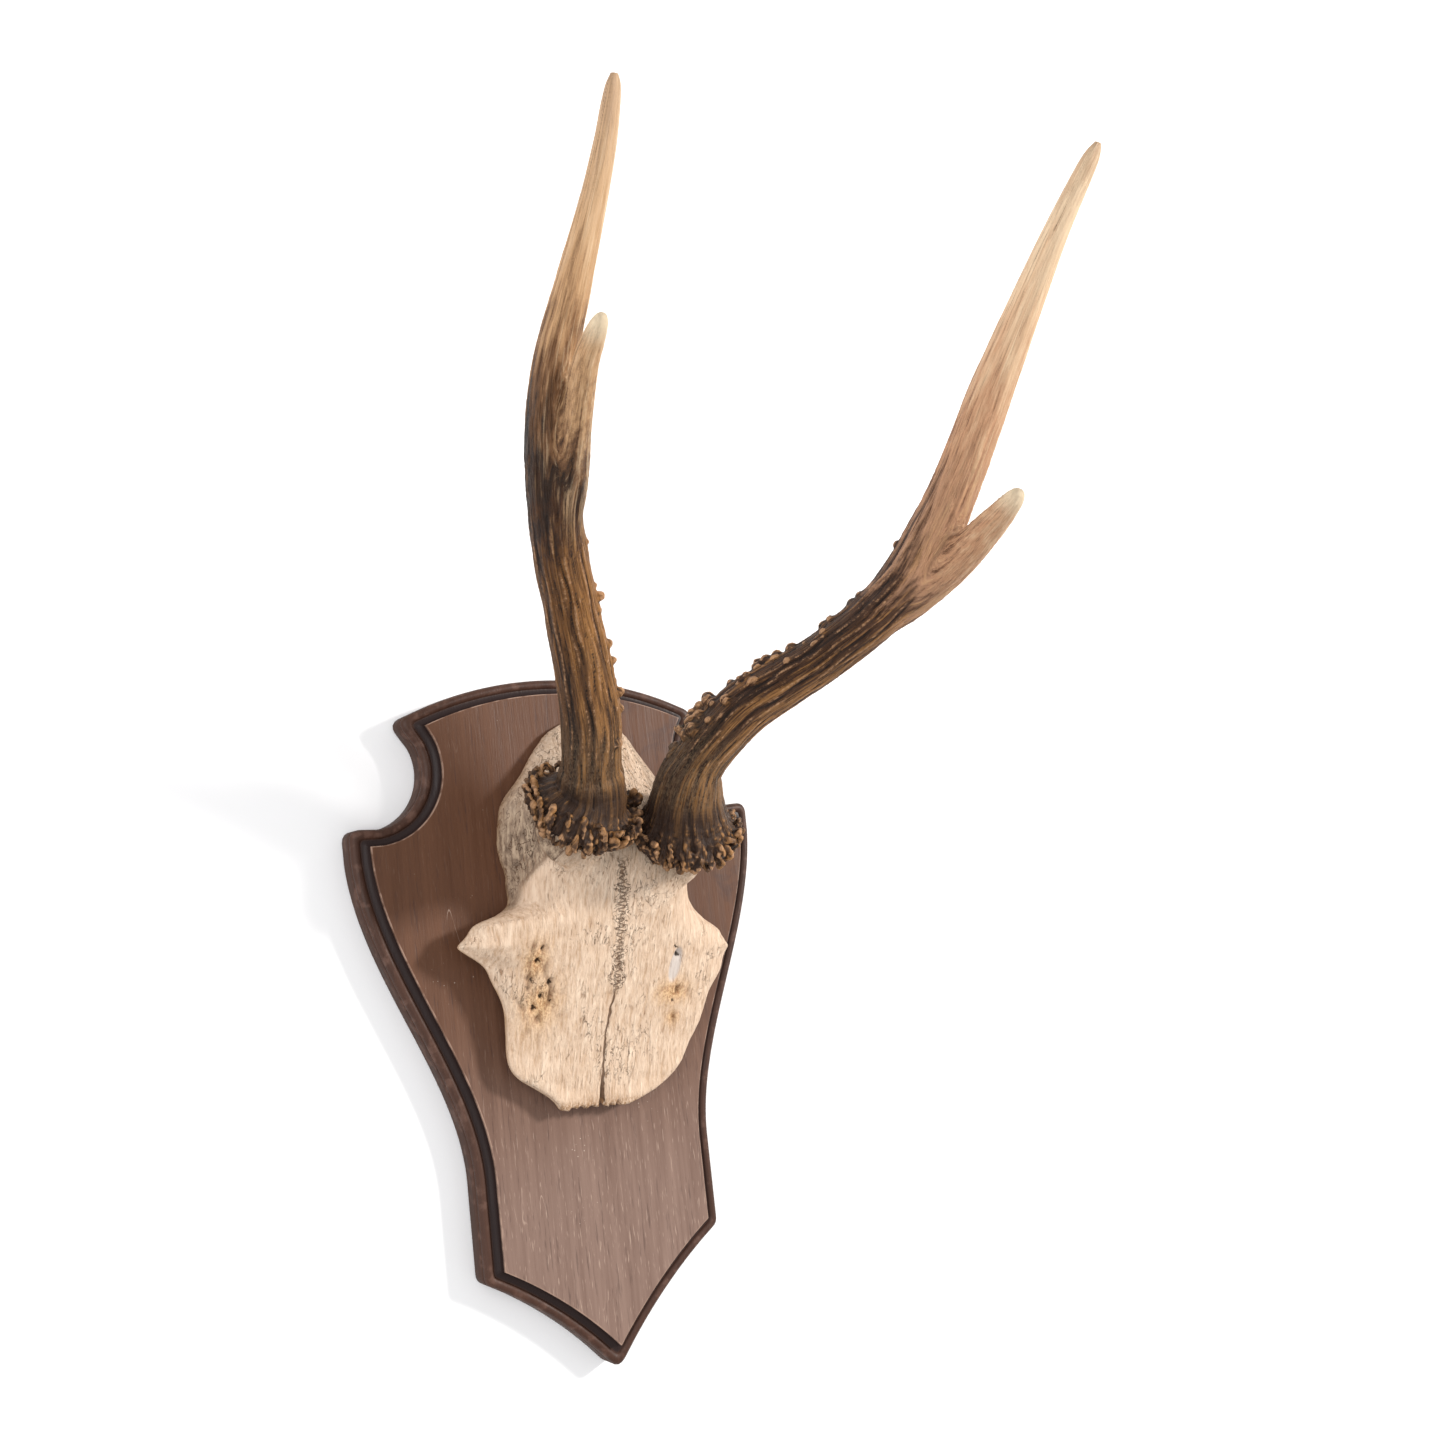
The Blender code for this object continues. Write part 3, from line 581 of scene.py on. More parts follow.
def recess_shape():
    sides = 48
    points = []
    for depth in (CONTACT_GAP, -RECESS_DEPTH):
        for step in range(sides):
            turn = 2 * math.pi * step / sides
            up = RECESS_HEIGHT + RECESS_RADIUS * math.sin(turn)
            points.append((RECESS_RADIUS * math.cos(turn), depth, up))
    return tube("recess", points, 2, sides)


# Skull

def skull_matrix():
    """From the skull's frame (across, off the field, along) to the room."""
    turn = Matrix.Rotation(SKULL_ANGLE, 4, "Y")
    return Matrix.Translation((0.0, -BOARD_THICKNESS, NOSE_END_HEIGHT - HANGING_HEIGHT)) @ turn


def skull_to_world(across, along, height):
    return skull_matrix() @ Vector((across, -height, along))


def world_to_skull(points):
    """Columns: across, along, height."""
    back = np.array(skull_matrix().inverted())
    local = points @ back[:3, :3].T + back[:3, 3]
    return np.column_stack([local[:, 0], local[:, 2], -local[:, 1]])


def burr_middle(place):
    return [share * HUNDREDTH * SKULL_LENGTH for share in place]


def pedicle_foot(place):
    across, along, height = burr_middle(place)
    return across, along - PEDICLE_FOOT_SHARE * PEDICLE_LENGTH, height - PEDICLE_LENGTH


def curve_through(stations, wanted):
    """Smooth values of every column of a table at the wanted first-column values."""
    table = np.array(stations, dtype=float)
    keys = table[:, 0]
    slopes = np.gradient(table, keys, axis=0)
    steps = np.diff(keys)[:, None]
    secants = np.diff(table, axis=0) / steps
    before = np.abs(np.vstack([secants[:1], secants]))
    after = np.abs(np.vstack([secants, secants[-1:]]))
    limit = 3 * np.minimum(before, after)
    slopes = np.clip(slopes, -limit, limit)
    place = np.clip(np.searchsorted(keys, wanted, side="right") - 1, 0, len(keys) - 2)
    width = (keys[place + 1] - keys[place])[:, None]
    share = ((wanted - keys[place])[:, None]) / width
    return ((2 * share ** 3 - 3 * share ** 2 + 1) * table[place]
            + (share ** 3 - 2 * share ** 2 + share) * width * slopes[place]
            + (3 * share ** 2 - 2 * share ** 3) * table[place + 1]
            + (share ** 3 - share ** 2) * width * slopes[place + 1])


def broken_edge(across):
    """How far the broken nose end steps back at each place across."""
    places = [-20, -15, -13.2, -13.0, -11, -10.8, -9.5, -8.2, -8.0, -6.5, -6.3, -4.2, -4.0, -2.7, -2.2,
              -1.8, -1.3, -0.5, 0.6, 0.8, 2.0, 2.2, 3.0, 3.2, 4.4, 4.6, 6.0, 9.0, 12.0]
    steps = [0.8, 0.4, 0.0, 1.3, 1.0, 0.2, 1.6, 1.2, 0.1, 0.4, 1.4, 1.1, 0.2, 0.5, 2.2,
             5.5, 1.6, 0.3, 0.2, 1.7, 1.9, 0.4, 0.1, 2.6, 2.3, 0.5, 0.1, 0.5, 0.2]
    return np.interp(across * 1000, places, steps) * 0.001


def skull_heights(across, along, row, inner):
    """Height of the bone's outer or inner face off the field at points of one cross-section."""
    rim, crown = max(row[3], CONTACT_GAP), row[4]
    left, right = row[1], row[2]
    if inner:
        rim = max(rim - SKULL_WALL_THICKNESS, CONTACT_GAP)
        crown = max(crown - SKULL_WALL_THICKNESS, rim + CONTACT_GAP)
    along_share = along / SKULL_LENGTH
    offset = np.minimum(np.abs(np.where(across < 0, across / left, across / right)), 1.0)
    brain_part = between(along_share, 0.48, 0.58)
    whole = rim + (crown - rim) * (1 - offset ** (2.8 - 0.6 * brain_part)) ** (0.68 - 0.18 * brain_part)
    if along_share < PLATE_STATIONS[0][0] * HUNDREDTH:
        return whole
    plate = curve_through(PLATE_STATIONS, np.array([along_share / HUNDREDTH]))[0] * HUNDREDTH * SKULL_LENGTH
    plate_offset = np.abs(np.where(across < 0, across / plate[1], across / plate[2]))
    sunk = TEMPLE_DEPTH_SHARE * (1 - between(along_share, *PLATE_FADE))
    return rim + (whole - rim) * (1 - sunk * between(plate_offset, 0.95, 1.10))


def build_skull_shell():
    """The hollow bone: an outer and an inner face, joined round the rim."""
    rows = 190
    columns = 141
    outer = []
    inner = []
    alongs = np.linspace(0.0, 1.0, rows) * 100
    for row in curve_through(SKULL_STATIONS, alongs) * HUNDREDTH * SKULL_LENGTH:
        offsets = np.sin(np.pi * (np.linspace(0.0, 1.0, columns) - 0.5))
        across = np.where(offsets < 0, offsets * row[1], offsets * row[2])
        heights = skull_heights(across, row[0], row, False)
        for place in (LEFT_BURR_PLACE, RIGHT_BURR_PLACE):
            foot = pedicle_foot(place)
            distance = np.hypot(across - foot[0], row[0] - foot[1])
            heights = heights + (PEDICLE_SWELL_HEIGHT * np.exp(-(distance / PEDICLE_SWELL_RADIUS) ** 2)
                                 * (1 - np.abs(offsets) ** 4))
        least = max(row[3], CONTACT_GAP) + LEAST_SKULL_EDGE * (1 - np.abs(offsets) ** 20)
        heights = np.maximum(heights, least)
        ended = row[0] + broken_edge(across) * (1 - between(row[0], 0.0, 0.008))
        outer.append(np.column_stack([across, ended, heights]))
        resting = 1 - min(1.0, max(row[3], CONTACT_GAP) / SKULL_WALL_THICKNESS)
        shrink = max(SKULL_WALL_THICKNESS * resting, LEAST_SKULL_EDGE)
        inside = np.where(offsets < 0, offsets * (row[1] - shrink), offsets * (row[2] - shrink))
        inner_row = row - np.array([0, shrink, shrink, 0, 0])
        low = skull_heights(inside, row[0], inner_row, True)
        inner.append(np.column_stack([inside, ended, low]))
    points = [skull_to_world(*p) for layer in (outer, inner) for row in layer for p in row]
    layer_size = rows * columns
    faces = []
    for row in range(rows - 1):
        for column in range(columns - 1):
            a = row * columns + column
            faces.append((a, a + 1, a + columns + 1, a + columns))
            faces.append(tuple(layer_size + index for index in (a + columns, a + columns + 1, a + 1, a)))
    rim = list(range(columns))
    rim += [row * columns + columns - 1 for row in range(1, rows)]
    rim += [(rows - 1) * columns + column for column in range(columns - 2, -1, -1)]
    rim += [row * columns for row in range(rows - 2, 0, -1)]
    for place, here in enumerate(rim):
        following = rim[(place + 1) % len(rim)]
        faces.append((following, here, here + layer_size, following + layer_size))
    return closed_object("shell", points, faces)


def disc_points(centre, facing, radius, sides):
    facing = Vector(facing).normalized()
    side = Vector((1, 0, 0))
    side = (side - facing * side.dot(facing)).normalized()
    across = facing.cross(side)
    turns = [2 * math.pi * step / sides for step in range(sides)]
    return [centre + (side * math.cos(turn) + across * math.sin(turn)) * radius for turn in turns]


def build_pedicle(place, facing):
    outward_axis = Vector((0, -1, 0))
    burr_axis = Vector(facing).normalized()
    root = skull_to_world(*pedicle_foot(place))
    neck = skull_to_world(*burr_middle(place)) - burr_axis * 0.001
    points = []
    rings = 9
    for share in np.linspace(0.0, 1.0, rings):
        radius = PEDICLE_RADIUS + (PEDICLE_NECK_RADIUS - PEDICLE_RADIUS) * share ** 0.6
        facing_here = outward_axis.lerp(burr_axis, 0.62 * share)
        points += disc_points(root.lerp(neck, share), facing_here, radius, 48)
    return tube("pedicle", points, rings, 48)


def build_skull():
    """Sawn skull with its pedicles as one skin, then holes, worn pits and a fine roughness."""
    parts = [build_skull_shell(), build_pedicle(LEFT_BURR_PLACE, LEFT_BURR_FACING),
             build_pedicle(RIGHT_BURR_PLACE, RIGHT_BURR_FACING)]
    skull = fuse("skull", parts, SKULL_VOXEL, 2)
    relax(skull.data, between(-vectors(skull.data, "normal")[:, 1], 0.6, 0.1), 9)
    points = vectors(skull.data, "co")
    facing = vectors(skull.data, "normal")
    local = world_to_skull(points)
    across_mm = local[:, 0] * 1000
    along_mm = local[:, 1] * 1000
    front = between(-facing[:, 1], 0.1, 0.5)
    from_suture = across_mm - np.interp(along_mm, *np.array(SUTURE_LINE).T)
    dent = np.zeros(len(points))
    for hole_across, hole_along, radius, depth in BONE_HOLES:
        distance = np.hypot(across_mm - hole_across, (along_mm - hole_along) * 0.75)
        dent += depth * np.exp(-(distance / radius) ** 2)
    worn = np.zeros(len(points))
    for place_across, place_along, half_width, half_length in WORN_PLACES:
        reach = ((across_mm - place_across) / half_width) ** 2 + ((along_mm - place_along) / half_length) ** 2
        worn = np.maximum(worn, np.exp(-reach))
    slate_across, slate_along, slate_width, slate_length = SLATE_PLACE
    slate = between(np.hypot((across_mm - slate_across - 0.15 * (along_mm - slate_along)) / slate_width,
                             (along_mm - slate_along) / slate_length), 1.1, 0.8)
    rough = np.array([noise.noise(Vector((a * 0.42, b * 0.26, 0.0))) for a, b in zip(across_mm, along_mm)])
    fine = np.array([noise.noise(Vector((a * 0.95, b * 0.22, 7.0))) for a, b in zip(across_mm, along_mm)])
    gash = np.clip(-rough - 0.06, 0, 1)
    dent += worn * (2.6 * gash + 0.5 * fine) * (1 - slate) + 0.10 * rough + 0.10 * fine + 0.5 * slate
    open_crack = between(along_mm, 40, 30) * 0.6 + between(along_mm, 12, 0) * 1.2
    dent += np.exp(-(from_suture / 0.7) ** 2) * open_crack
    move_points(skull.data, points - facing * (dent * front * 0.001)[:, None])
    burrs = [np.array(skull_to_world(*burr_middle(place))) for place in (LEFT_BURR_PLACE, RIGHT_BURR_PLACE)]
    near = sum(np.exp(-(np.linalg.norm(points - centre, axis=1) / 0.0185) ** 5) for centre in burrs)
    plate = curve_through(PLATE_STATIONS, np.clip(along_mm / 1.23, 47, 80)) * HUNDREDTH * SKULL_LENGTH
    outside = np.where(local[:, 0] < 0, -local[:, 0] / plate[:, 1], local[:, 0] / plate[:, 2])
    behind = between(along_mm, 58, 64)
    # Round the burrs and on the sunken temples the material lays a grey mottle: painted shade, over stained
    # bone round the burrs.
    store(skull, "burr_stain_and_shade", np.clip(near, 0, 1))
    store(skull, "temple", between(outside, 0.98, 1.06) * behind)
    store(skull, "temple_line", (outside - 1.03) * 30)
    store(skull, "worn", worn * (1 - slate))
    store(skull, "pitted", worn * np.clip(gash * 3, 0, 1) * (1 - slate))
    store(skull, "slate", slate)
    store(skull, "edge", between(-facing[:, 1], 0.35, -0.1))
    store(skull, "sideways", between(-facing[:, 1], 0.75, 0.30))
    store(skull, "from_suture", from_suture)
    store_vector(skull, "bone_place", np.column_stack([across_mm, along_mm, local[:, 2] * 1000]))
    return skull


# Antlers

def smooth_path(stations, length, origin, count):
    """Even steps along a smooth curve through the stations, with the radius at each."""
    table = np.array(stations) * HUNDREDTH * length
    padded = np.vstack([2 * table[0] - table[1], table, 2 * table[-1] - table[-2]])
    fine = []
    for place in range(1, len(padded) - 2):
        before, here, there, beyond = padded[place - 1:place + 3]
        for share in np.linspace(0.0, 1.0, 24, endpoint=False):
            fine.append(0.5 * (2 * here + (there - before) * share
                               + (2 * before - 5 * here + 4 * there - beyond) * share ** 2
                               + (3 * here - before - 3 * there + beyond) * share ** 3))
    fine.append(table[-1])
    fine = np.array(fine)
    lengths = run_lengths(fine[:, :3])
    wanted = np.linspace(0.0, lengths[-1], count)
    even = values_at(wanted, lengths, fine)
    places = np.array(origin) + even[:, :3] * [1, -1, 1]
    return {"places": places, "radii": even[:, 3], "shares": wanted / lengths[-1], "length": lengths[-1]}


def add_frames(path):
    """Cross directions along a path, carried without twisting; the first points to the right."""
    places = path["places"]
    headings = np.gradient(places, axis=0)
    headings /= np.linalg.norm(headings, axis=1)[:, None]
    side = np.array([1.0, 0.0, 0.0])
    sides = []
    for heading in headings:
        side = side - heading * (side @ heading)
        side /= np.linalg.norm(side)
        sides.append(side.copy())
    path["sides"] = np.array(sides)
    path["crosses"] = np.cross(headings, path["sides"])
    return path


def path_tube(name, path, sides):
    """A round tube with a blunt rounded end."""
    turns = np.linspace(0, 2 * np.pi, sides, endpoint=False)
    points = []
    for place, radius, side, cross in zip(path["places"], path["radii"], path["sides"], path["crosses"]):
        points.extend(place + radius * (np.cos(turns)[:, None] * side + np.sin(turns)[:, None] * cross))
    return tube(name, points, len(path["places"]), sides)


def bead(name, centre, size, squash, heading, chance):
    """A slightly irregular knob, drawn out along its heading."""
    work = bmesh.new()
    made = bmesh.ops.create_icosphere(work, subdivisions=2, radius=size)
    for point in made["verts"]:
        point.co *= 1 + chance.uniform(-0.12, 0.12)
        point.co.z *= squash
    turn = Vector(heading).to_track_quat("Z", "Y").to_matrix()
    bmesh.ops.rotate(work, verts=made["verts"], matrix=turn)
    bmesh.ops.translate(work, verts=made["verts"], vec=Vector(centre))
    mesh = bpy.data.meshes.new(name)
    work.to_mesh(mesh)
    work.free()
    return add_object(name, mesh)


def burr_frame(burr, rise):
    """Middle and cross directions of the burr's ring at a rise, turning from its own axis to the beam's."""
    path = burr["path"]
    count = len(path["places"])
    index = min(count - 1, int(max(rise, 0.0) * BURR_RADIUS / path["length"] * count))
    share = float(between(rise, 0.05, 0.6))
    middle = (burr["centre"] + burr["axis"] * rise * BURR_RADIUS) * (1 - share)
    middle = middle + path["places"][index] * share
    heading = burr["axis"] * (1 - share) + np.cross(path["sides"][index], path["crosses"][index]) * share
    heading /= np.linalg.norm(heading)
    side = np.array([1.0, 0.0, 0.0]) - heading * heading[0]
    side /= np.linalg.norm(side)
    return middle, side, np.cross(heading, side)


def burr_spot(burr, rise, reach, turn):
    middle, side, cross = burr_frame(burr, rise)
    return middle + BURR_RADIUS * reach * (side * math.cos(turn) + cross * math.sin(turn))


def rod(name, places, radii, sides):
    """A round rod through a few places."""
    table = np.column_stack([np.array(places), np.array(radii)])
    keys = np.linspace(0, 1, len(table))
    fine = curve_through(np.column_stack([keys, table]), np.linspace(0, 1, 4 * len(table)))
    return path_tube(name, add_frames({"places": fine[:, 1:4], "radii": fine[:, 4]}), sides)


def burr_collar(burr, chance):
    """Collar that widens from the beam to the rim, with a slightly wavy outline."""
    turns = np.linspace(0, 2 * np.pi, BURR_SIDES, endpoint=False)
    swell = 1 + sum(0.018 * np.cos(number * turns + chance.uniform(0, FULL_TURN)) for number in (2, 3, 5, 8))
    rows = [(index, *row) for index, row in enumerate(BURR_UNDERSIDE + burr["top"])]
    outline = curve_through(rows, np.linspace(0, len(rows) - 1, 40))
    points = []
    for _, rise, reach in outline:
        middle, side, cross = burr_frame(burr, rise)
        around = reach * (1 + (swell - 1) * min(1.0, reach ** 4 * 1.6))
        spread = (np.cos(turns)[:, None] * side + np.sin(turns)[:, None] * cross) * around[:, None]
        points.extend(middle + BURR_RADIUS * spread)
    return tube("burr", points, len(outline), BURR_SIDES)


def burr_strand(burr, number, chance):
    """One flute that runs down from the beam, and the knob that ends it at the rim."""
    turn = 2 * math.pi * (number + chance.uniform(-0.3, 0.3)) / burr["strands"]
    thick = chance.uniform(0.75, 1.3)
    lean = chance.uniform(-0.05, 0.05)
    first = chance.choice((0, 1, 1, 2))
    rows = (burr["top"][::-1] + [(0.0, 0.985), (-0.10, 1.0)])[first:]
    last = len(rows) - 1
    places = [burr_spot(burr, rise, reach - 0.045 * (index < last), turn + lean * index)
              for index, (rise, reach) in enumerate(rows)]
    radii = [BURR_RADIUS * (0.036 + 0.036 * (index / last) ** 1.3) * thick for index in range(len(rows))]
    strand = rod("strand", places, radii, 10)
    end = places[-1] + burr["axis"] * chance.uniform(-0.0012, 0.0008)
    stretch = chance.uniform(1.0, 1.5)
    knob = bead("knob", end, BURR_RADIUS * 0.072 * thick, stretch, places[-1] - burr["centre"], chance)
    return [strand, knob]


def burr_knobs(burr, tier, count, size, chance):
    """A row of knobs under the rim."""
    knobs = []
    for number in range(count):
        turn = 2 * math.pi * (number + chance.uniform(-0.35, 0.35)) / count
        spot = burr_spot(burr, tier + chance.uniform(-0.05, 0.05), 0.93 + tier * 0.3, turn)
        radius = BURR_RADIUS * size * chance.uniform(0.7, 1.3)
        knobs.append(bead("knob", spot, radius, 1.2, spot - burr["centre"], chance))
    return knobs


def burr_curl(burr, waves, rise, reach, size, phases):
    """A thin wavy ring that curls up, down, in and out along the rim."""
    curl = burr["curl"]
    places = []
    for step in range(CURL_STEPS + 6):
        turn = 2 * math.pi * step / CURL_STEPS
        wobble = math.sin(waves * turn + phases[0] + 0.8 * math.sin(3 * turn + phases[1]))
        lift = math.sin(waves * turn + phases[2] + 1.2 * math.sin(2 * turn + phases[3]))
        places.append(burr_spot(burr, rise + curl * 0.12 * lift, reach + curl * 0.085 * wobble, turn))
    radii = np.full(len(places), BURR_RADIUS * size)
    return path_tube("curl", add_frames({"places": np.array(places), "radii": radii}), 10)


def build_burr(place, facing, path, top, strands, curl, seed):
    """A collar whose flutes run down from the beam and end in rows of knobs and curls round the rim."""
    chance = random.Random(seed)
    burr = {
        "axis": np.array(Vector(facing).normalized()),
        "centre": np.array(skull_to_world(*burr_middle(place))),
        "path": path,
        "top": top,
        "strands": strands,
        "curl": curl,
    }
    parts = [burr_collar(burr, chance)]
    for number in range(strands):
        parts += burr_strand(burr, number, chance)
    for tier, count, size in ((-0.20, strands - 4, 0.085), (-0.32, strands - 8, 0.08)):
        parts += burr_knobs(burr, tier, count, size, chance)
    phases = [chance.uniform(0, FULL_TURN) for _ in range(4)]
    for row in ((19, 0.04, 0.99, 0.042), (27, -0.09, 1.05, 0.038), (23, -0.22, 0.97, 0.040)):
        parts.append(burr_curl(burr, *row, phases))
    return parts


def build_saddle(chance):
    """Knobs that fill the gap between the two burrs."""
    left = np.array(burr_middle(LEFT_BURR_PLACE))
    right = np.array(burr_middle(RIGHT_BURR_PLACE))
    middle = left * 0.53 + right * 0.47
    knobs = []
    for _ in range(26):
        shift = [chance.uniform(*limits) for limits in ((-0.0028, 0.0022), (-0.004, 0.007), (-0.009, 0.003))]
        spot = skull_to_world(*(middle + shift))
        knobs.append(bead("knob", spot, chance.uniform(0.0011, 0.0023), 1.1, (0.1, -1, 0.6), chance))
    return knobs


def surface_spot(path, share, turn, sink):
    """A point on a beam and its direction out; the turn counts from the photo's viewpoint, right positive."""
    index = int(round(share * (len(path["places"]) - 1)))
    heading = np.cross(path["sides"][index], path["crosses"][index])
    viewed = np.array(CAMERA_PLACE) - path["places"][index]
    viewed -= heading * (viewed @ heading)
    viewed /= np.linalg.norm(viewed)
    away = viewed * math.cos(turn) + np.cross(heading, viewed) * math.sin(turn)
    return path["places"][index] + away * (path["radii"][index] - sink), away


def build_pearls(path, pearls, chance):
    """Pearls with a wider root each; the table's columns are as at LEFT_PEARLS."""
    parts = []
    for share, angle, size, stretch, stand in pearls:
        radius = size * 0.001
        spot, away = surface_spot(path, share, math.radians(angle), radius * 0.35 - stand * 0.001)
        parts.append(bead("pearl", spot, radius, stretch, away, chance))
        foot = spot - away * (radius * 0.6 + stand * 0.0005)
        parts.append(bead("root", foot, radius * 1.4, 0.8, away, chance))
    return parts


def scattered_pearls(count, start, end, middle_angle, spread, sizes, chance):
    rows = []
    for number in range(count):
        share = start + (end - start) * (number + chance.uniform(-0.4, 0.4)) / count
        angle = middle_angle + chance.gauss(0, spread)
        rows.append((max(share, 0.02), angle, chance.uniform(*sizes), chance.uniform(0.9, 1.4), 0.0))
    return rows


def ridge_pattern(share, turn, length, chance):
    """Lengthwise ridges, from -1 in the narrow furrows between them to 1 on their backs."""
    total = np.zeros(len(share))
    weight = 0.0
    for number, size in ((5, 0.7), (9, 0.9), (14, 1.0), (21, 0.9), (30, 0.6)):
        drift = 0.0
        for reach in (chance.uniform(0.05, 0.11), chance.uniform(0.018, 0.03)):
            depth = chance.uniform(0.3, 0.9)
            drift = drift + depth * np.sin(2 * np.pi * share * length / reach + chance.uniform(0, FULL_TURN))
        wave = np.sin((number * turn + chance.uniform(0, FULL_TURN)) / 2 + drift)
        total += size * (2 * np.abs(wave) ** 0.75 - 1.0)
        weight += size
    return np.clip(total / weight * 1.7 - 0.25, -1.2, 1.2)


def nearest_on_path(points, path):
    """For every point: closeness to the path's tube, share along and turn round it."""
    found = np.zeros((len(points), 3))
    block = 8000
    for low in range(0, len(points), block):
        some = slice(low, low + block)
        offsets = points[some, None, :] - path["places"][None, :, :]
        relative = np.linalg.norm(offsets, axis=2) / (path["radii"][None, :] + 0.001)
        nearest = relative.argmin(axis=1)
        rows = np.arange(len(nearest))
        away = offsets[rows, nearest]
        turn = np.arctan2((away * path["crosses"][nearest]).sum(1), (away * path["sides"][nearest]).sum(1))
        found[some] = np.column_stack([relative[rows, nearest], path["shares"][nearest], turn])
    return found.T


def build_antler(name, place, facing, length, beam, tine, tine_tones, burr, pearls, loose, lit_side, seed):
    """One antler as one skin, with what its material needs kept at each point."""
    chance = random.Random(seed)
    origin = skull_to_world(*burr_middle(place))
    beam_path = add_frames(smooth_path(beam, length, origin, 260))
    tine_path = add_frames(smooth_path(tine, length, origin, 90))
    parts = [path_tube("beam", beam_path, 72), path_tube("tine", tine_path, 48)]
    parts += build_burr(place, facing, beam_path, *burr, seed)
    parts += build_pearls(beam_path, pearls, chance)
    for group in loose:
        parts += build_pearls(beam_path, scattered_pearls(*group, chance), chance)
    if burr[0] is LEFT_BURR_TOP:
        parts += build_saddle(chance)
    antler = fuse(name, parts, ANTLER_VOXEL, 1)
    points = vectors(antler.data, "co")
    closeness, beam_share, beam_turn = nearest_on_path(points, beam_path)
    tine_closeness, tine_share, tine_turn = nearest_on_path(points, tine_path)
    seam = np.exp(-((closeness - tine_closeness) / 0.22) ** 2) * between(beam_share, 0.30, 0.40)
    relax(antler.data, seam, 40)
    points = vectors(antler.data, "co")
    facing_out = vectors(antler.data, "normal")
    axis = np.array(Vector(facing).normalized())
    from_origin = points - np.array(origin)
    outreach = np.linalg.norm(from_origin - (from_origin @ axis)[:, None] * axis, axis=1) / BURR_RADIUS
    tine_part = closeness ** 6 / (closeness ** 6 + tine_closeness ** 6)
    softer_part = closeness ** 3 / (closeness ** 3 + tine_closeness ** 3)
    tine_tone = tine_tones[0] + (tine_tones[1] - tine_tones[0]) * tine_share ** 0.5
    share = beam_share + (tine_tone - beam_share) * softer_part
    ridge = ridge_pattern(beam_share, beam_turn, length, chance)
    ridge += (ridge_pattern(tine_tone, tine_turn, length, chance) - ridge) * tine_part
    strength = 0.30 * between(share, 0.95, 0.50) + 0.03
    fine = np.array([noise.noise(Vector(point * 900)) for point in points])
    height = ridge * strength + fine * 0.10 * between(share, 0.95, 0.6)
    coarse = np.array([noise.noise(Vector(point * 420)) for point in points])
    height += (coarse * 0.50 + fine * 0.40) * between(share, 0.085, 0.055) * between(outreach, 0.70, 0.90)
    move_points(antler.data, points + facing_out * (height * 0.001)[:, None])
    beam_grain = np.column_stack([np.cos(beam_turn) * 9, np.sin(beam_turn) * 9, beam_share * length * 1000])
    tine_grain = np.column_stack([np.cos(tine_turn) * 9, np.sin(tine_turn) * 9, tine_share * length * 1000])
    # Faces turned towards this side are painted lighter in the material and the far side darker: painted
    # light and shade.
    lit_side_facing = facing_out @ np.array(Vector(lit_side).normalized())
    store(antler, "along", share)
    store(antler, "ridge", ridge)
    store(antler, "lit_side", lit_side_facing)
    store(antler, "tip", tine_part * between(tine_share, 0.86, 0.99))
    store(antler, "reach", outreach)
    store(antler, "crest", crests(antler.data, ANTLER_VOXEL, 2))
    store_vector(antler, "spot", points * 1000)
    store_vector(antler, "grain", beam_grain + (tine_grain - beam_grain) * tine_part[:, None])
    return antler


# Materials

def srgb(red, green, blue):
    """Screen colour from 0 to 255 as the linear colour that shaders use."""
    linear = []
    for value in (red, green, blue):
        share = value / 255
        linear.append(share / 12.92 if share <= 0.04045 else ((share + 0.055) / 1.055) ** 2.4)
    return (*linear, 1.0)


class Value:
    """An output of a material's node, to reckon with like a number."""

    def __init__(self, make, socket):
        self.make = make
        self.socket = socket

    def __add__(self, other):
        return self.make.math("ADD", self, other)

    def __sub__(self, other):
        return self.make.math("SUBTRACT", self, other)

    def __rsub__(self, other):
        return self.make.math("SUBTRACT", other, self)

    def __mul__(self, other):
        return self.make.math("MULTIPLY", self, other)

    def __truediv__(self, other):
        return self.make.math("DIVIDE", self, other)

    def __abs__(self):
        return self.make.math("ABSOLUTE", self)


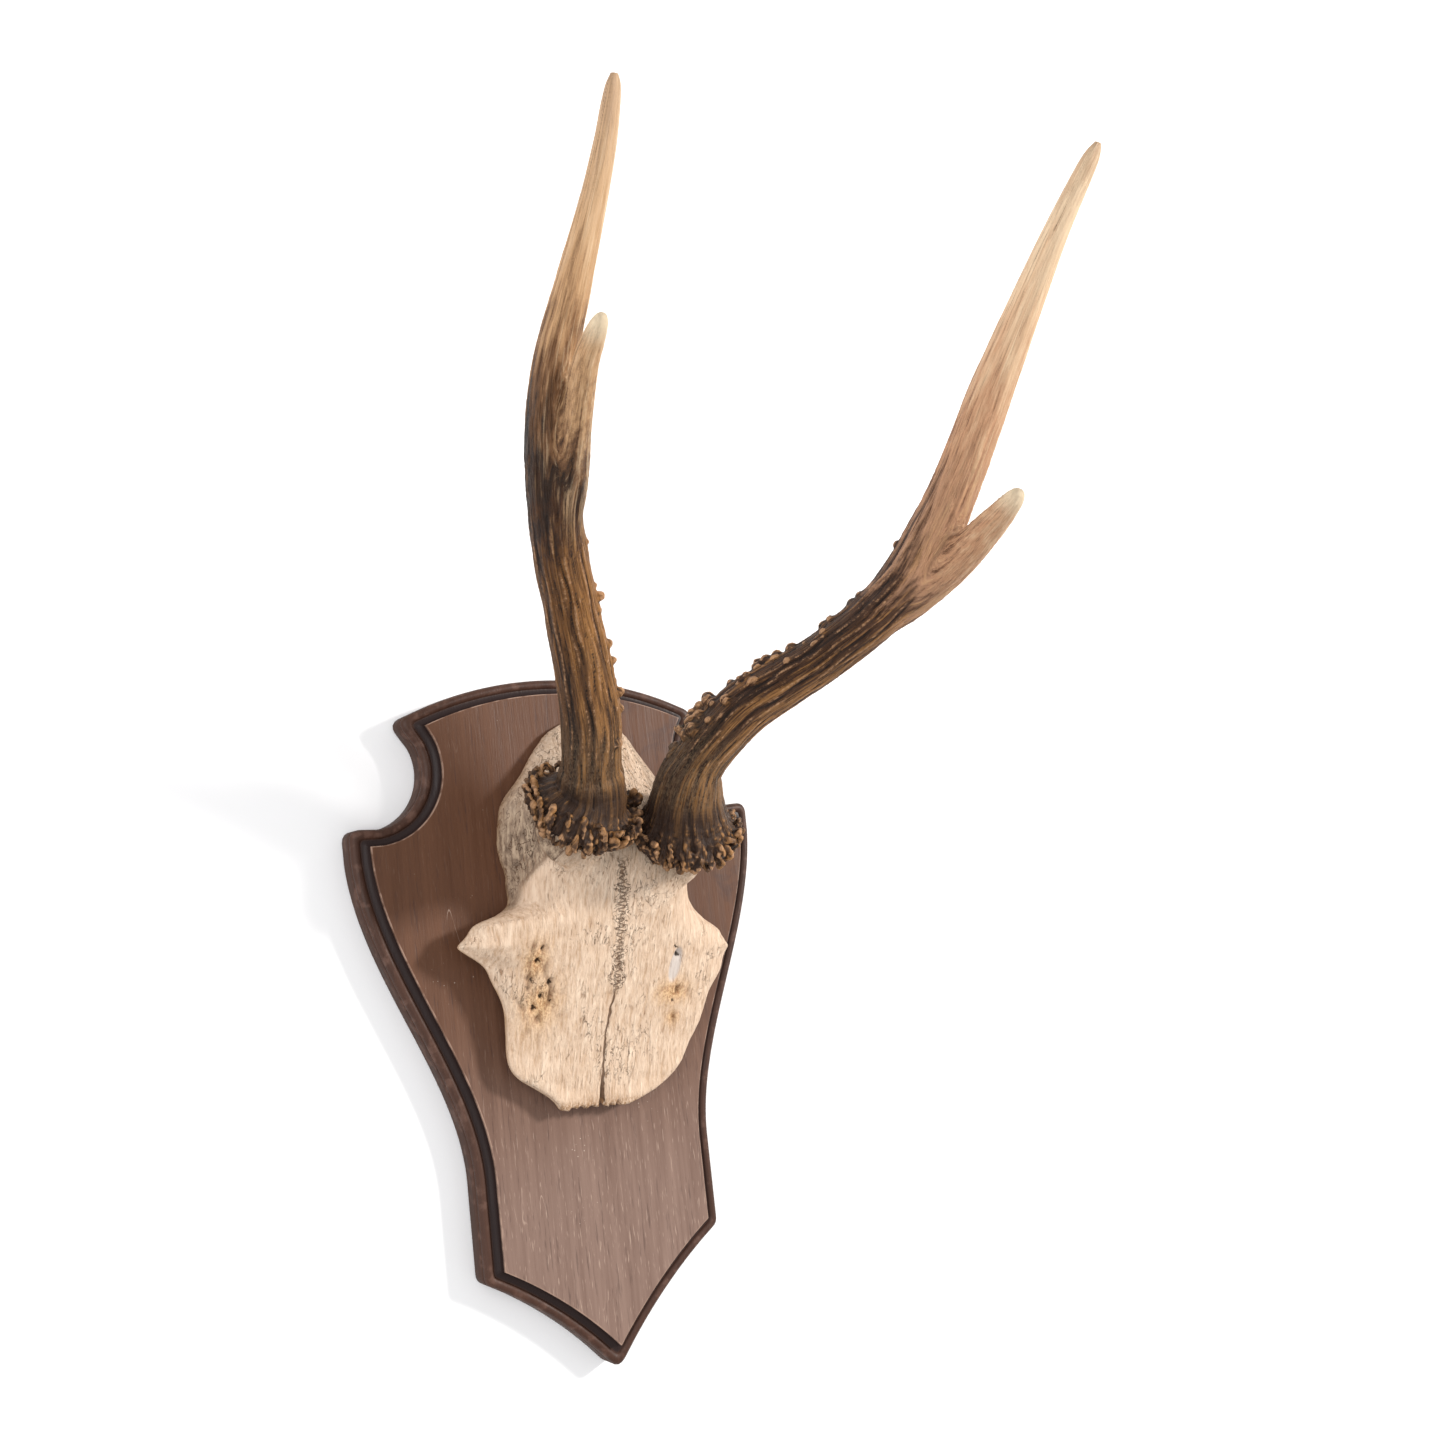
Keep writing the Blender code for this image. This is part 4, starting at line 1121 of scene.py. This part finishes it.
class Recipe:
    """Builds one material's nodes; patterns follow a vector kept in the mesh, or the object's own frame."""

    def __init__(self, name, source=None):
        self.material = bpy.data.materials.new(name)
        self.material.use_nodes = True
        self.tree = self.material.node_tree
        self.shader = self.tree.nodes["Principled BSDF"]
        self.source = self.attribute(source, "Vector") if source else self.node("TexCoord", "Object")
        self.colour = None

    def node(self, kind, output, inputs=None, **settings):
        """Adds a node and gives the value of one of its outputs."""
        made = self.tree.nodes.new("ShaderNode" + kind)
        for key, value in settings.items():
            setattr(made, key, value)
        for key, value in (inputs or {}).items():
            self.plug(made.inputs[key], value)
        return Value(self, made.outputs[output])

    def plug(self, socket, value):
        if isinstance(value, Value):
            self.tree.links.new(value.socket, socket)
        else:
            socket.default_value = value

    def noise(self, stretch, scale, detail=4.0, roughness=0.55, distortion=0.0, turn=0.0, axis=2,
              source=None):
        """Cloudy pattern, drawn out along the axes where stretch is small and turned round one axis."""
        rotation = [0.0, 0.0, 0.0]
        rotation[axis] = turn
        inputs = {"Vector": source or self.source, "Scale": stretch, "Rotation": rotation}
        vector = self.node("Mapping", "Vector", inputs)
        inputs = {"Vector": vector, "Scale": scale, "Detail": detail, "Roughness": roughness,
                  "Distortion": distortion}
        return self.node("TexNoise", "Fac", inputs)

    def part(self, axis):
        return self.node("SeparateXYZ", axis, {"Vector": self.source})

    def attribute(self, name, output="Fac"):
        return self.node("Attribute", output, attribute_name=name)

    def math(self, operation, first, second=0.0):
        return self.node("Math", 0, {0: first, 1: second}, operation=operation)

    def larger(self, first, second):
        return self.math("MAXIMUM", first, second)

    def rise(self, value, low, high, out_low=0.0, out_high=1.0):
        """Smooth step from out_low at low to out_high at high."""
        inputs = {"Value": value, "From Min": low, "From Max": high, "To Min": out_low, "To Max": out_high}
        return self.node("MapRange", "Result", inputs, interpolation_type="SMOOTHSTEP")

    def blend(self, share, first, second, mode="MIX"):
        return self.node("Mix", 2, {0: share, 6: first, 7: second}, data_type="RGBA", blend_type=mode)

    def tint(self, share, colour):
        """Lays a screen colour or a value over the recipe's colour, by a share from 0 to 1."""
        over = colour if isinstance(colour, Value) else srgb(*colour)
        self.colour = self.blend(share, self.colour, over)

    def ramp(self, value, stops):
        """Colours along a value from 0 to 1: place and screen colour of each stop."""
        made = self.node("ValToRGB", "Color", {"Fac": value})
        points = made.socket.node.color_ramp.elements
        while len(points) < len(stops):
            points.new(0.5)
        for point, (place, colour) in zip(points, stops):
            point.position = place
            point.color = srgb(*colour)
        return made

    def finish(self, roughness, height, depth, strength, specular):
        """Fills the shader's sockets, with a bump of the given depth, and gives the material."""
        inputs = {"Height": height, "Distance": depth, "Strength": strength}
        self.plug(self.shader.inputs["Base Color"], self.colour)
        self.plug(self.shader.inputs["Roughness"], roughness)
        self.plug(self.shader.inputs["Normal"], self.node("Bump", "Normal", inputs))
        self.plug(self.shader.inputs["Specular IOR Level"], specular)
        return self.material


def wood_material():
    """Dark purplish-brown stained wood with upright grain, pale pores and a worn lip; painted sheen makes the
    lower part paler, painted shadow lays dark clouds over the upper part, and the cove is dark stain with
    painted shade.
    """
    make = Recipe("stained_wood")
    height = make.part("Z")
    distance = make.attribute("lip_distance")
    even = (1, 1, 1)
    streaks = make.noise((1, 1, 0.045), 420, 5, 0.6)
    fibres = make.noise((1, 1, 0.06), 1500, 3, 0.6)
    clouds = make.noise((1, 1, 0.6), 22, 4, 0.6, 0.6)
    shadow_clouds = make.noise((1, 1, 0.8), 34, 5, 0.65, 1.2)
    base = make.blend(streaks, srgb(76, 48, 33), srgb(106, 71, 50))
    # pale is the same wood with painted sheen, laid on more towards the bottom.
    pale = make.blend(streaks, srgb(100, 76, 66), srgb(146, 121, 108))
    lower = make.rise(height, -0.03, -0.15) + clouds * 0.35
    make.colour = make.blend(make.rise(lower, 0.15, 1.15), base, pale)
    # Dark clouds over the upper part are painted shadow.
    make.tint(make.rise(shadow_clouds, 0.54, 0.66) * make.rise(height, -0.09, -0.02) * 0.55, (66, 47, 43))
    pores = make.rise(make.noise((1, 1, 0.10), 1900, 2, 0.5), 0.60, 0.72)
    make.tint(pores * make.rise(height, -0.05, -0.13, 0.05, 0.38), (196, 172, 154))
    make.tint(make.rise(fibres, 0.42, 0.30, 0.0, 0.45), (62, 44, 40))
    scratch = make.noise((1, 1, 0.10), 150, 1, 0.4, turn=math.radians(38), axis=1)
    scratch = make.rise(abs(scratch - 0.5), 0.0035, 0.0)
    make.tint(scratch * (make.rise(make.noise(even, 45, 2), 0.58, 0.66) * 0.5), (190, 165, 148))
    specks = make.node("TexVoronoi", "Distance", {"Vector": make.source, "Scale": 520})
    dust = make.rise(specks, 0.13, 0.07) * make.rise(make.noise(even, 70, 3), 0.56, 0.70, 0.0, 0.6)
    make.tint(dust, (196, 178, 162))
    # The cove inside the lip is near black: dark stain with painted shade.
    make.tint(make.rise(distance, 0.0, 0.12), (40, 27, 25))
    make.tint(make.rise(distance, 2.0, 2.9), make.blend(streaks, srgb(44, 27, 20), srgb(84, 55, 42)))
    rubbed = make.rise(make.noise(even, 260, 4), 0.5, 0.68, 0.0, 0.55) * make.rise(distance, 2.5, 3.4)
    make.tint(rubbed * make.rise(make.part("Y"), -0.0005, -0.002, 0.12, 1.0), (106, 78, 66))
    lip = make.rise(distance, -0.42, -0.12) * make.rise(distance, 0.14, 0.02)
    make.tint(lip * make.rise(make.noise(even, 190, 3), 0.40, 0.60, 0.15, 0.75), (172, 142, 124))
    roughness = make.rise(streaks, 0.3, 0.7, 0.42, 0.60)
    return make.finish(roughness, fibres * 0.7 + streaks * 0.5, 0.00025, 0.6, 0.25)


def suture_lines(make, from_suture, along):
    """Tangled dark loops of the suture over the forehead, running out into a plain crack towards the nose."""
    sideways = make.noise((1, 1, 0), 0.30, 2) - 0.5
    line = from_suture + sideways * 2.5
    loops = make.rise(abs(make.noise((0.8, 1, 0), 0.85, 1.0, 0.4, 0.9) - 0.5), 0.042, 0.012)
    reach = make.rise(make.noise((0, 1, 0), 0.16, 1), 0.35, 0.65, 1.4, 3.0)
    loops = loops * make.rise(abs(line) - reach, 0.5, -0.3)
    turn = along * 3.3
    slope = make.math("COSINE", turn) * 3.0
    steepness = make.math("SQRT", slope * slope + 1.0)
    thread = make.rise(abs(line - make.math("SINE", turn) * 0.9) / steepness, 0.34, 0.10)
    within = make.rise(along, 34, 37) * make.rise(along, 78, 73)
    gap = abs(from_suture + sideways * 1.5) - make.rise(along, 16, 0, 0.10, 0.55)
    crack = make.rise(gap, 0.34, 0.05) * make.rise(along, 40, 34)
    return make.larger(make.larger(loops, thread * 0.7) * within, crack)


def hole_shade(make, across, along):
    """Painted shade inside the small holes: dark spots with ragged rims."""
    shake = (make.noise((1, 1, 1), 0.8, 3) - 0.5) * 3.0
    jagged = make.node("CombineXYZ", 0, {"X": across + shake, "Y": along - shake})
    deep = None
    for hole_across, hole_along, radius, depth in BONE_HOLES:
        ends = {0: jagged, 1: (hole_across, hole_along, 0)}
        gap = make.node("VectorMath", "Value", ends, operation="DISTANCE")
        spot = make.rise(gap, radius * 1.1, radius * 0.5)
        deep = spot if deep is None else make.larger(deep, spot)
    return deep


def bone_material():
    """Cream bone with lengthwise fibres, a suture, cracks and stained worn places; a grey mottle on the
    temples is painted shade, round the burrs it is stained bone with painted shade, and the dark hole insides
    are painted shade.
    """
    make = Recipe("weathered_bone", "bone_place")
    across = make.part("X")
    along = make.part("Y")
    temple = make.attribute("temple")
    slate = make.attribute("slate")
    sideways = make.attribute("sideways")
    slant = math.radians(-38)
    fibres = make.rise(make.noise((1, 0.13, 0.5), 1.25, 4, 0.65), 0.32, 0.68)
    bands = make.rise(make.noise((1, 0.16, 0.5), 0.42, 4, 0.6, 0.4), 0.34, 0.66)
    clouds = make.noise((1, 1, 1), 0.07, 4, 0.6)
    grit = make.noise((1, 0.6, 1), 1.6, 3, 0.7)
    tone = fibres * 0.42 + bands * 0.22 + clouds * 0.50
    make.colour = make.ramp(tone, [(0.0, (146, 112, 86)), (0.26, (188, 157, 129)), (0.46, (208, 180, 154)),
                                   (0.70, (220, 194, 169)), (1.0, (234, 212, 188))])
    mottle = make.noise((1, 0.22, 0.6), 0.9, 4, 0.65, turn=slant) * 0.8 + grit * 0.2
    shade_and_stain_mottle = make.ramp(make.rise(mottle, 0.34, 0.66),
                        [(0.0, (92, 74, 60)), (0.45, (136, 115, 96)), (1.0, (178, 156, 132))])
    # Grey mottle on the sunken temples is painted shade; round the burrs it is stained bone with painted
    # shade.
    temple_shade = temple * make.rise(along, 84, 112, 0.92, 0.30)
    make.tint(make.larger(make.attribute("burr_stain_and_shade") * 0.75, temple_shade), shade_and_stain_mottle)
    ochre = make.blend(make.rise(grit, 0.36, 0.62), srgb(160, 108, 58), srgb(226, 188, 140))
    make.tint(make.attribute("worn") * 0.85, ochre)
    make.tint(make.attribute("pitted") * 0.75, (98, 62, 34))
    make.tint(slate * 0.7, (184, 180, 178))
    hairs = make.rise(make.noise((1, 0.10, 0.6), 1.5, 3, 0.5), 0.40, 0.31)
    hairs = hairs * make.rise(clouds, 0.42, 0.60, 0.20, 0.60) * make.rise(sideways, 0.0, 1.0, 1.0, 0.3)
    make.tint(hairs, (132, 92, 60))
    crackle = make.noise((0.9, 0.35, 0.6), 0.5, 3, 0.55, 0.7, turn=slant)
    on_top = make.larger(make.rise(along, 78, 88), temple * 0.9)
    crackle = (make.rise(abs(crackle - 0.5), 0.014, 0.002)
               * make.larger(on_top, make.rise(clouds, 0.54, 0.60, 0.0, 0.6)))
    faint = make.rise(sideways, 0.0, 1.0, 1.0, 0.45) * make.rise(across, 0, -5)
    temple_line = make.rise(abs(make.attribute("temple_line") + (grit - 0.5) * 1.2), 0.55, 0.15)
    temple_line = temple_line * make.rise(along, 90, 80) * make.rise(along, 61, 65) * faint
    suture = suture_lines(make, make.attribute("from_suture"), along)
    marks = make.larger(make.larger(suture, crackle), temple_line)
    make.tint(marks * 0.85, (84, 54, 32))
    # Dark hole insides are painted shade.
    make.tint(hole_shade(make, across, along) * 0.9, (40, 26, 16))
    broken = make.rise(along, 4.5, 0.5) * make.rise(grit, 0.40, 0.56)
    make.tint(make.larger(broken * 0.8, make.attribute("edge") * 0.5), (150, 108, 68))
    relief = fibres * 0.5 + bands * 0.5 + grit * 0.5 - (marks * 1.6 + hairs)
    relief = relief * (1.0 - slate * 0.7) * make.rise(sideways, 0.0, 1.0, 1.0, 0.12)
    return make.finish(0.75, relief, 0.0005, 1.0, 0.22)


def antler_material(name, tones):
    """Dark furrows and yellow-brown ridges low down, tan above, pale polished tips and worn knobs; the faces
    turned to one side are painted lighter and the far side darker, as painted light and shade.
    """
    make = Recipe(name, "grain")
    along = make.attribute("along")
    crest = make.attribute("crest")
    broad = make.rise(make.noise((1, 1, 0.03), 0.40, 3, 0.55), 0.34, 0.66)
    streaks = make.rise(make.noise((1, 1, 0.035), 1.0, 4, 0.6), 0.33, 0.67)
    fibres = make.rise(make.noise((1, 1, 0.06), 2.1, 3, 0.6), 0.34, 0.66)
    grit = make.noise((1, 1, 0.5), 2.4, 3, 0.7)
    wander = (make.noise((0.5, 0.5, 0.16), 0.55, 3, 0.6) - 0.5) * 0.34
    tone = make.ramp(along + wander + (broad - 0.5) * 0.05, tones)
    lift = make.attribute("ridge") * 0.12 + 0.14
    # The lit side attribute paints faces turned one way lighter and the far side darker: painted light and
    # shade.
    for pattern, weight in ((streaks, 0.20), (fibres, 0.18), (broad, 0.20), (grit, 0.12),
                            (make.attribute("lit_side"), 0.14)):
        lift = lift + pattern * weight
    lift = (lift - 0.5) * make.rise(along, 0.42, 0.78, 1.45, 1.0) + 0.5
    dark = make.blend(1.0, tone, srgb(118, 104, 92), "MULTIPLY")
    pale = make.blend(make.rise(along, 0.45, 0.75), srgb(188, 134, 76), srgb(246, 220, 182))
    make.colour = make.blend(make.rise(lift, 0.08, 0.50), dark, tone)
    make.tint(make.rise(lift, 0.52, 0.95), make.blend(0.50, tone, pale))
    low_part = make.rise(along, 0.56, 0.46)
    above_burr = make.rise(along, 0.08, 0.12)
    make.tint(make.rise(crest, -0.15, -0.8) * low_part * 0.8, (24, 14, 8))
    greyed = make.rise(along, 0.20, 0.10) * make.rise(along, 0.03, 0.06)
    make.tint(greyed * make.rise(grit, 0.40, 0.62, 0.0, 0.55), (116, 94, 70))
    collar = make.rise(along, 0.065, 0.030) * make.rise(crest, 1.1, 0.5)
    make.tint(collar * 0.75, (44, 27, 17))
    pearl = make.rise(crest, 0.45, 1.1) * above_burr
    worn = make.larger(make.rise(crest, 0.75, 1.7), pearl) * low_part
    patchy = make.noise((1, 1, 1), 0.36, 2, source=make.attribute("spot", "Vector"))
    rim = make.rise(make.attribute("reach"), 0.95, 1.08, 0.12, 0.85)
    rim = rim * make.rise(patchy, 0.44, 0.56, 0.15, 1.0)
    worn = worn * make.larger(rim, above_burr) * make.rise(grit, 0.36, 0.58, 0.35, 1.0)
    make.tint(worn * 0.80, (196, 150, 110))
    make.tint(make.attribute("tip") * 0.8, (238, 220, 188))
    relief = (streaks * 0.6 + fibres * 0.4 + grit * 0.35) * make.rise(along, 0.45, 0.85, 1.0, 0.30)
    return make.finish(make.rise(along, 0.5, 1.0, 0.58, 0.46), relief, 0.0007, 0.9, 0.28)


# Room

def wall_material():
    """Plain pale wall, seen from the room side only; it leaves light for the back of the shield."""
    make = Recipe("pale_wall")
    make.plug(make.shader.inputs["Base Color"], (0.93, 0.93, 0.93, 1))
    make.plug(make.shader.inputs["Roughness"], 0.9)
    make.plug(make.shader.inputs["Specular IOR Level"], 0.1)
    close_by = make.math("LESS_THAN", make.node("LightPath", "Ray Length"), WALL_LIGHT_REACH)
    from_shield = close_by * (1.0 - make.node("LightPath", "Is Camera Ray"))
    clear = make.larger(make.node("NewGeometry", "Backfacing"), from_shield)
    surface = Value(make, make.shader.outputs[0])
    mixed = make.node("MixShader", 0, {0: clear, 1: surface, 2: make.node("BsdfTransparent", 0)})
    make.plug(make.tree.nodes["Material Output"].inputs["Surface"], mixed)
    return make.material


def build_wall():
    half = WALL_SIZE / 2
    corners = [(x * half, WALL_GAP, z * half) for x, z in ((-1, -1), (1, -1), (1, 1), (-1, 1))]
    wall = new_object("wall", corners, [(0, 1, 2, 3)])
    wall.data.materials.append(wall_material())


def area_light(name, place, size, power, colour):
    """A square light that faces the origin."""
    data = bpy.data.lights.new(name, "AREA")
    data.energy = power
    data.size = size
    data.color = colour
    lamp = add_object(name, data)
    lamp.location = place
    lamp.rotation_euler = (-Vector(place)).to_track_quat("-Z", "Y").to_euler()


def light_room():
    world = bpy.data.worlds.new("soft_studio")
    world.use_nodes = True
    background = world.node_tree.nodes["Background"]
    background.inputs["Color"].default_value = (1.0, 1.0, 1.0, 1.0)
    background.inputs["Strength"].default_value = SKY_STRENGTH
    bpy.context.scene.world = world
    bpy.context.scene.view_settings.view_transform = "Standard"
    area_light("key", *KEY_LIGHT)
    area_light("fill", *FILL_LIGHT)


def build_camera():
    data = bpy.data.cameras.new("camera")
    data.sensor_width = SENSOR_WIDTH
    data.lens = FOCAL_PIXELS / PHOTO_SIZE * SENSOR_WIDTH
    camera = add_object("camera", data)
    right = Vector(CAMERA_RIGHT)
    up = -Vector(CAMERA_DOWN)
    back = -Vector(CAMERA_FORWARD)
    camera.matrix_world = Matrix((
        (right.x, up.x, back.x, CAMERA_PLACE[0]),
        (right.y, up.y, back.y, CAMERA_PLACE[1]),
        (right.z, up.z, back.z, CAMERA_PLACE[2]),
        (0, 0, 0, 1)))
    bpy.context.scene.camera = camera


def dress(piece, look, node):
    piece.data.materials.clear()
    piece.data.materials.append(look)
    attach(piece, "root")
    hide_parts(node)


def main():
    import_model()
    build_camera()
    dress(build_shield(), wood_material(), "wooden_shield")
    dress(build_skull(), bone_material(), "skull_and_antlers")
    # The second-last argument of each antler is the side that its material paints lighter.
    left = build_antler("left_antler", LEFT_BURR_PLACE, LEFT_BURR_FACING, LEFT_ANTLER_LENGTH, LEFT_BEAM,
                        LEFT_TINE, (0.50, 0.84), (LEFT_BURR_TOP, 27, 1.5), LEFT_PEARLS,
                        [(7, 0.14, 0.40, 78, 18, (0.4, 0.8)), (8, 0.10, 0.45, 150, 30, (0.5, 0.9))],
                        (0.75, -0.60, 0.10), 5)
    dress(left, antler_material("left_antler", LEFT_TONES), "skull_and_antlers")
    right = build_antler("right_antler", RIGHT_BURR_PLACE, RIGHT_BURR_FACING, RIGHT_ANTLER_LENGTH, RIGHT_BEAM,
                         RIGHT_TINE, (0.40, 0.74), (RIGHT_BURR_TOP, 29, 1.1), RIGHT_PEARLS,
                         [(9, 0.14, 0.42, -60, 22, (0.4, 0.9)), (8, 0.10, 0.45, -150, 30, (0.5, 0.9))],
                         (0.60, -0.60, -0.55), 9)
    dress(right, antler_material("right_antler", RIGHT_TONES), "skull_and_antlers")
    build_wall()
    light_room()


main()
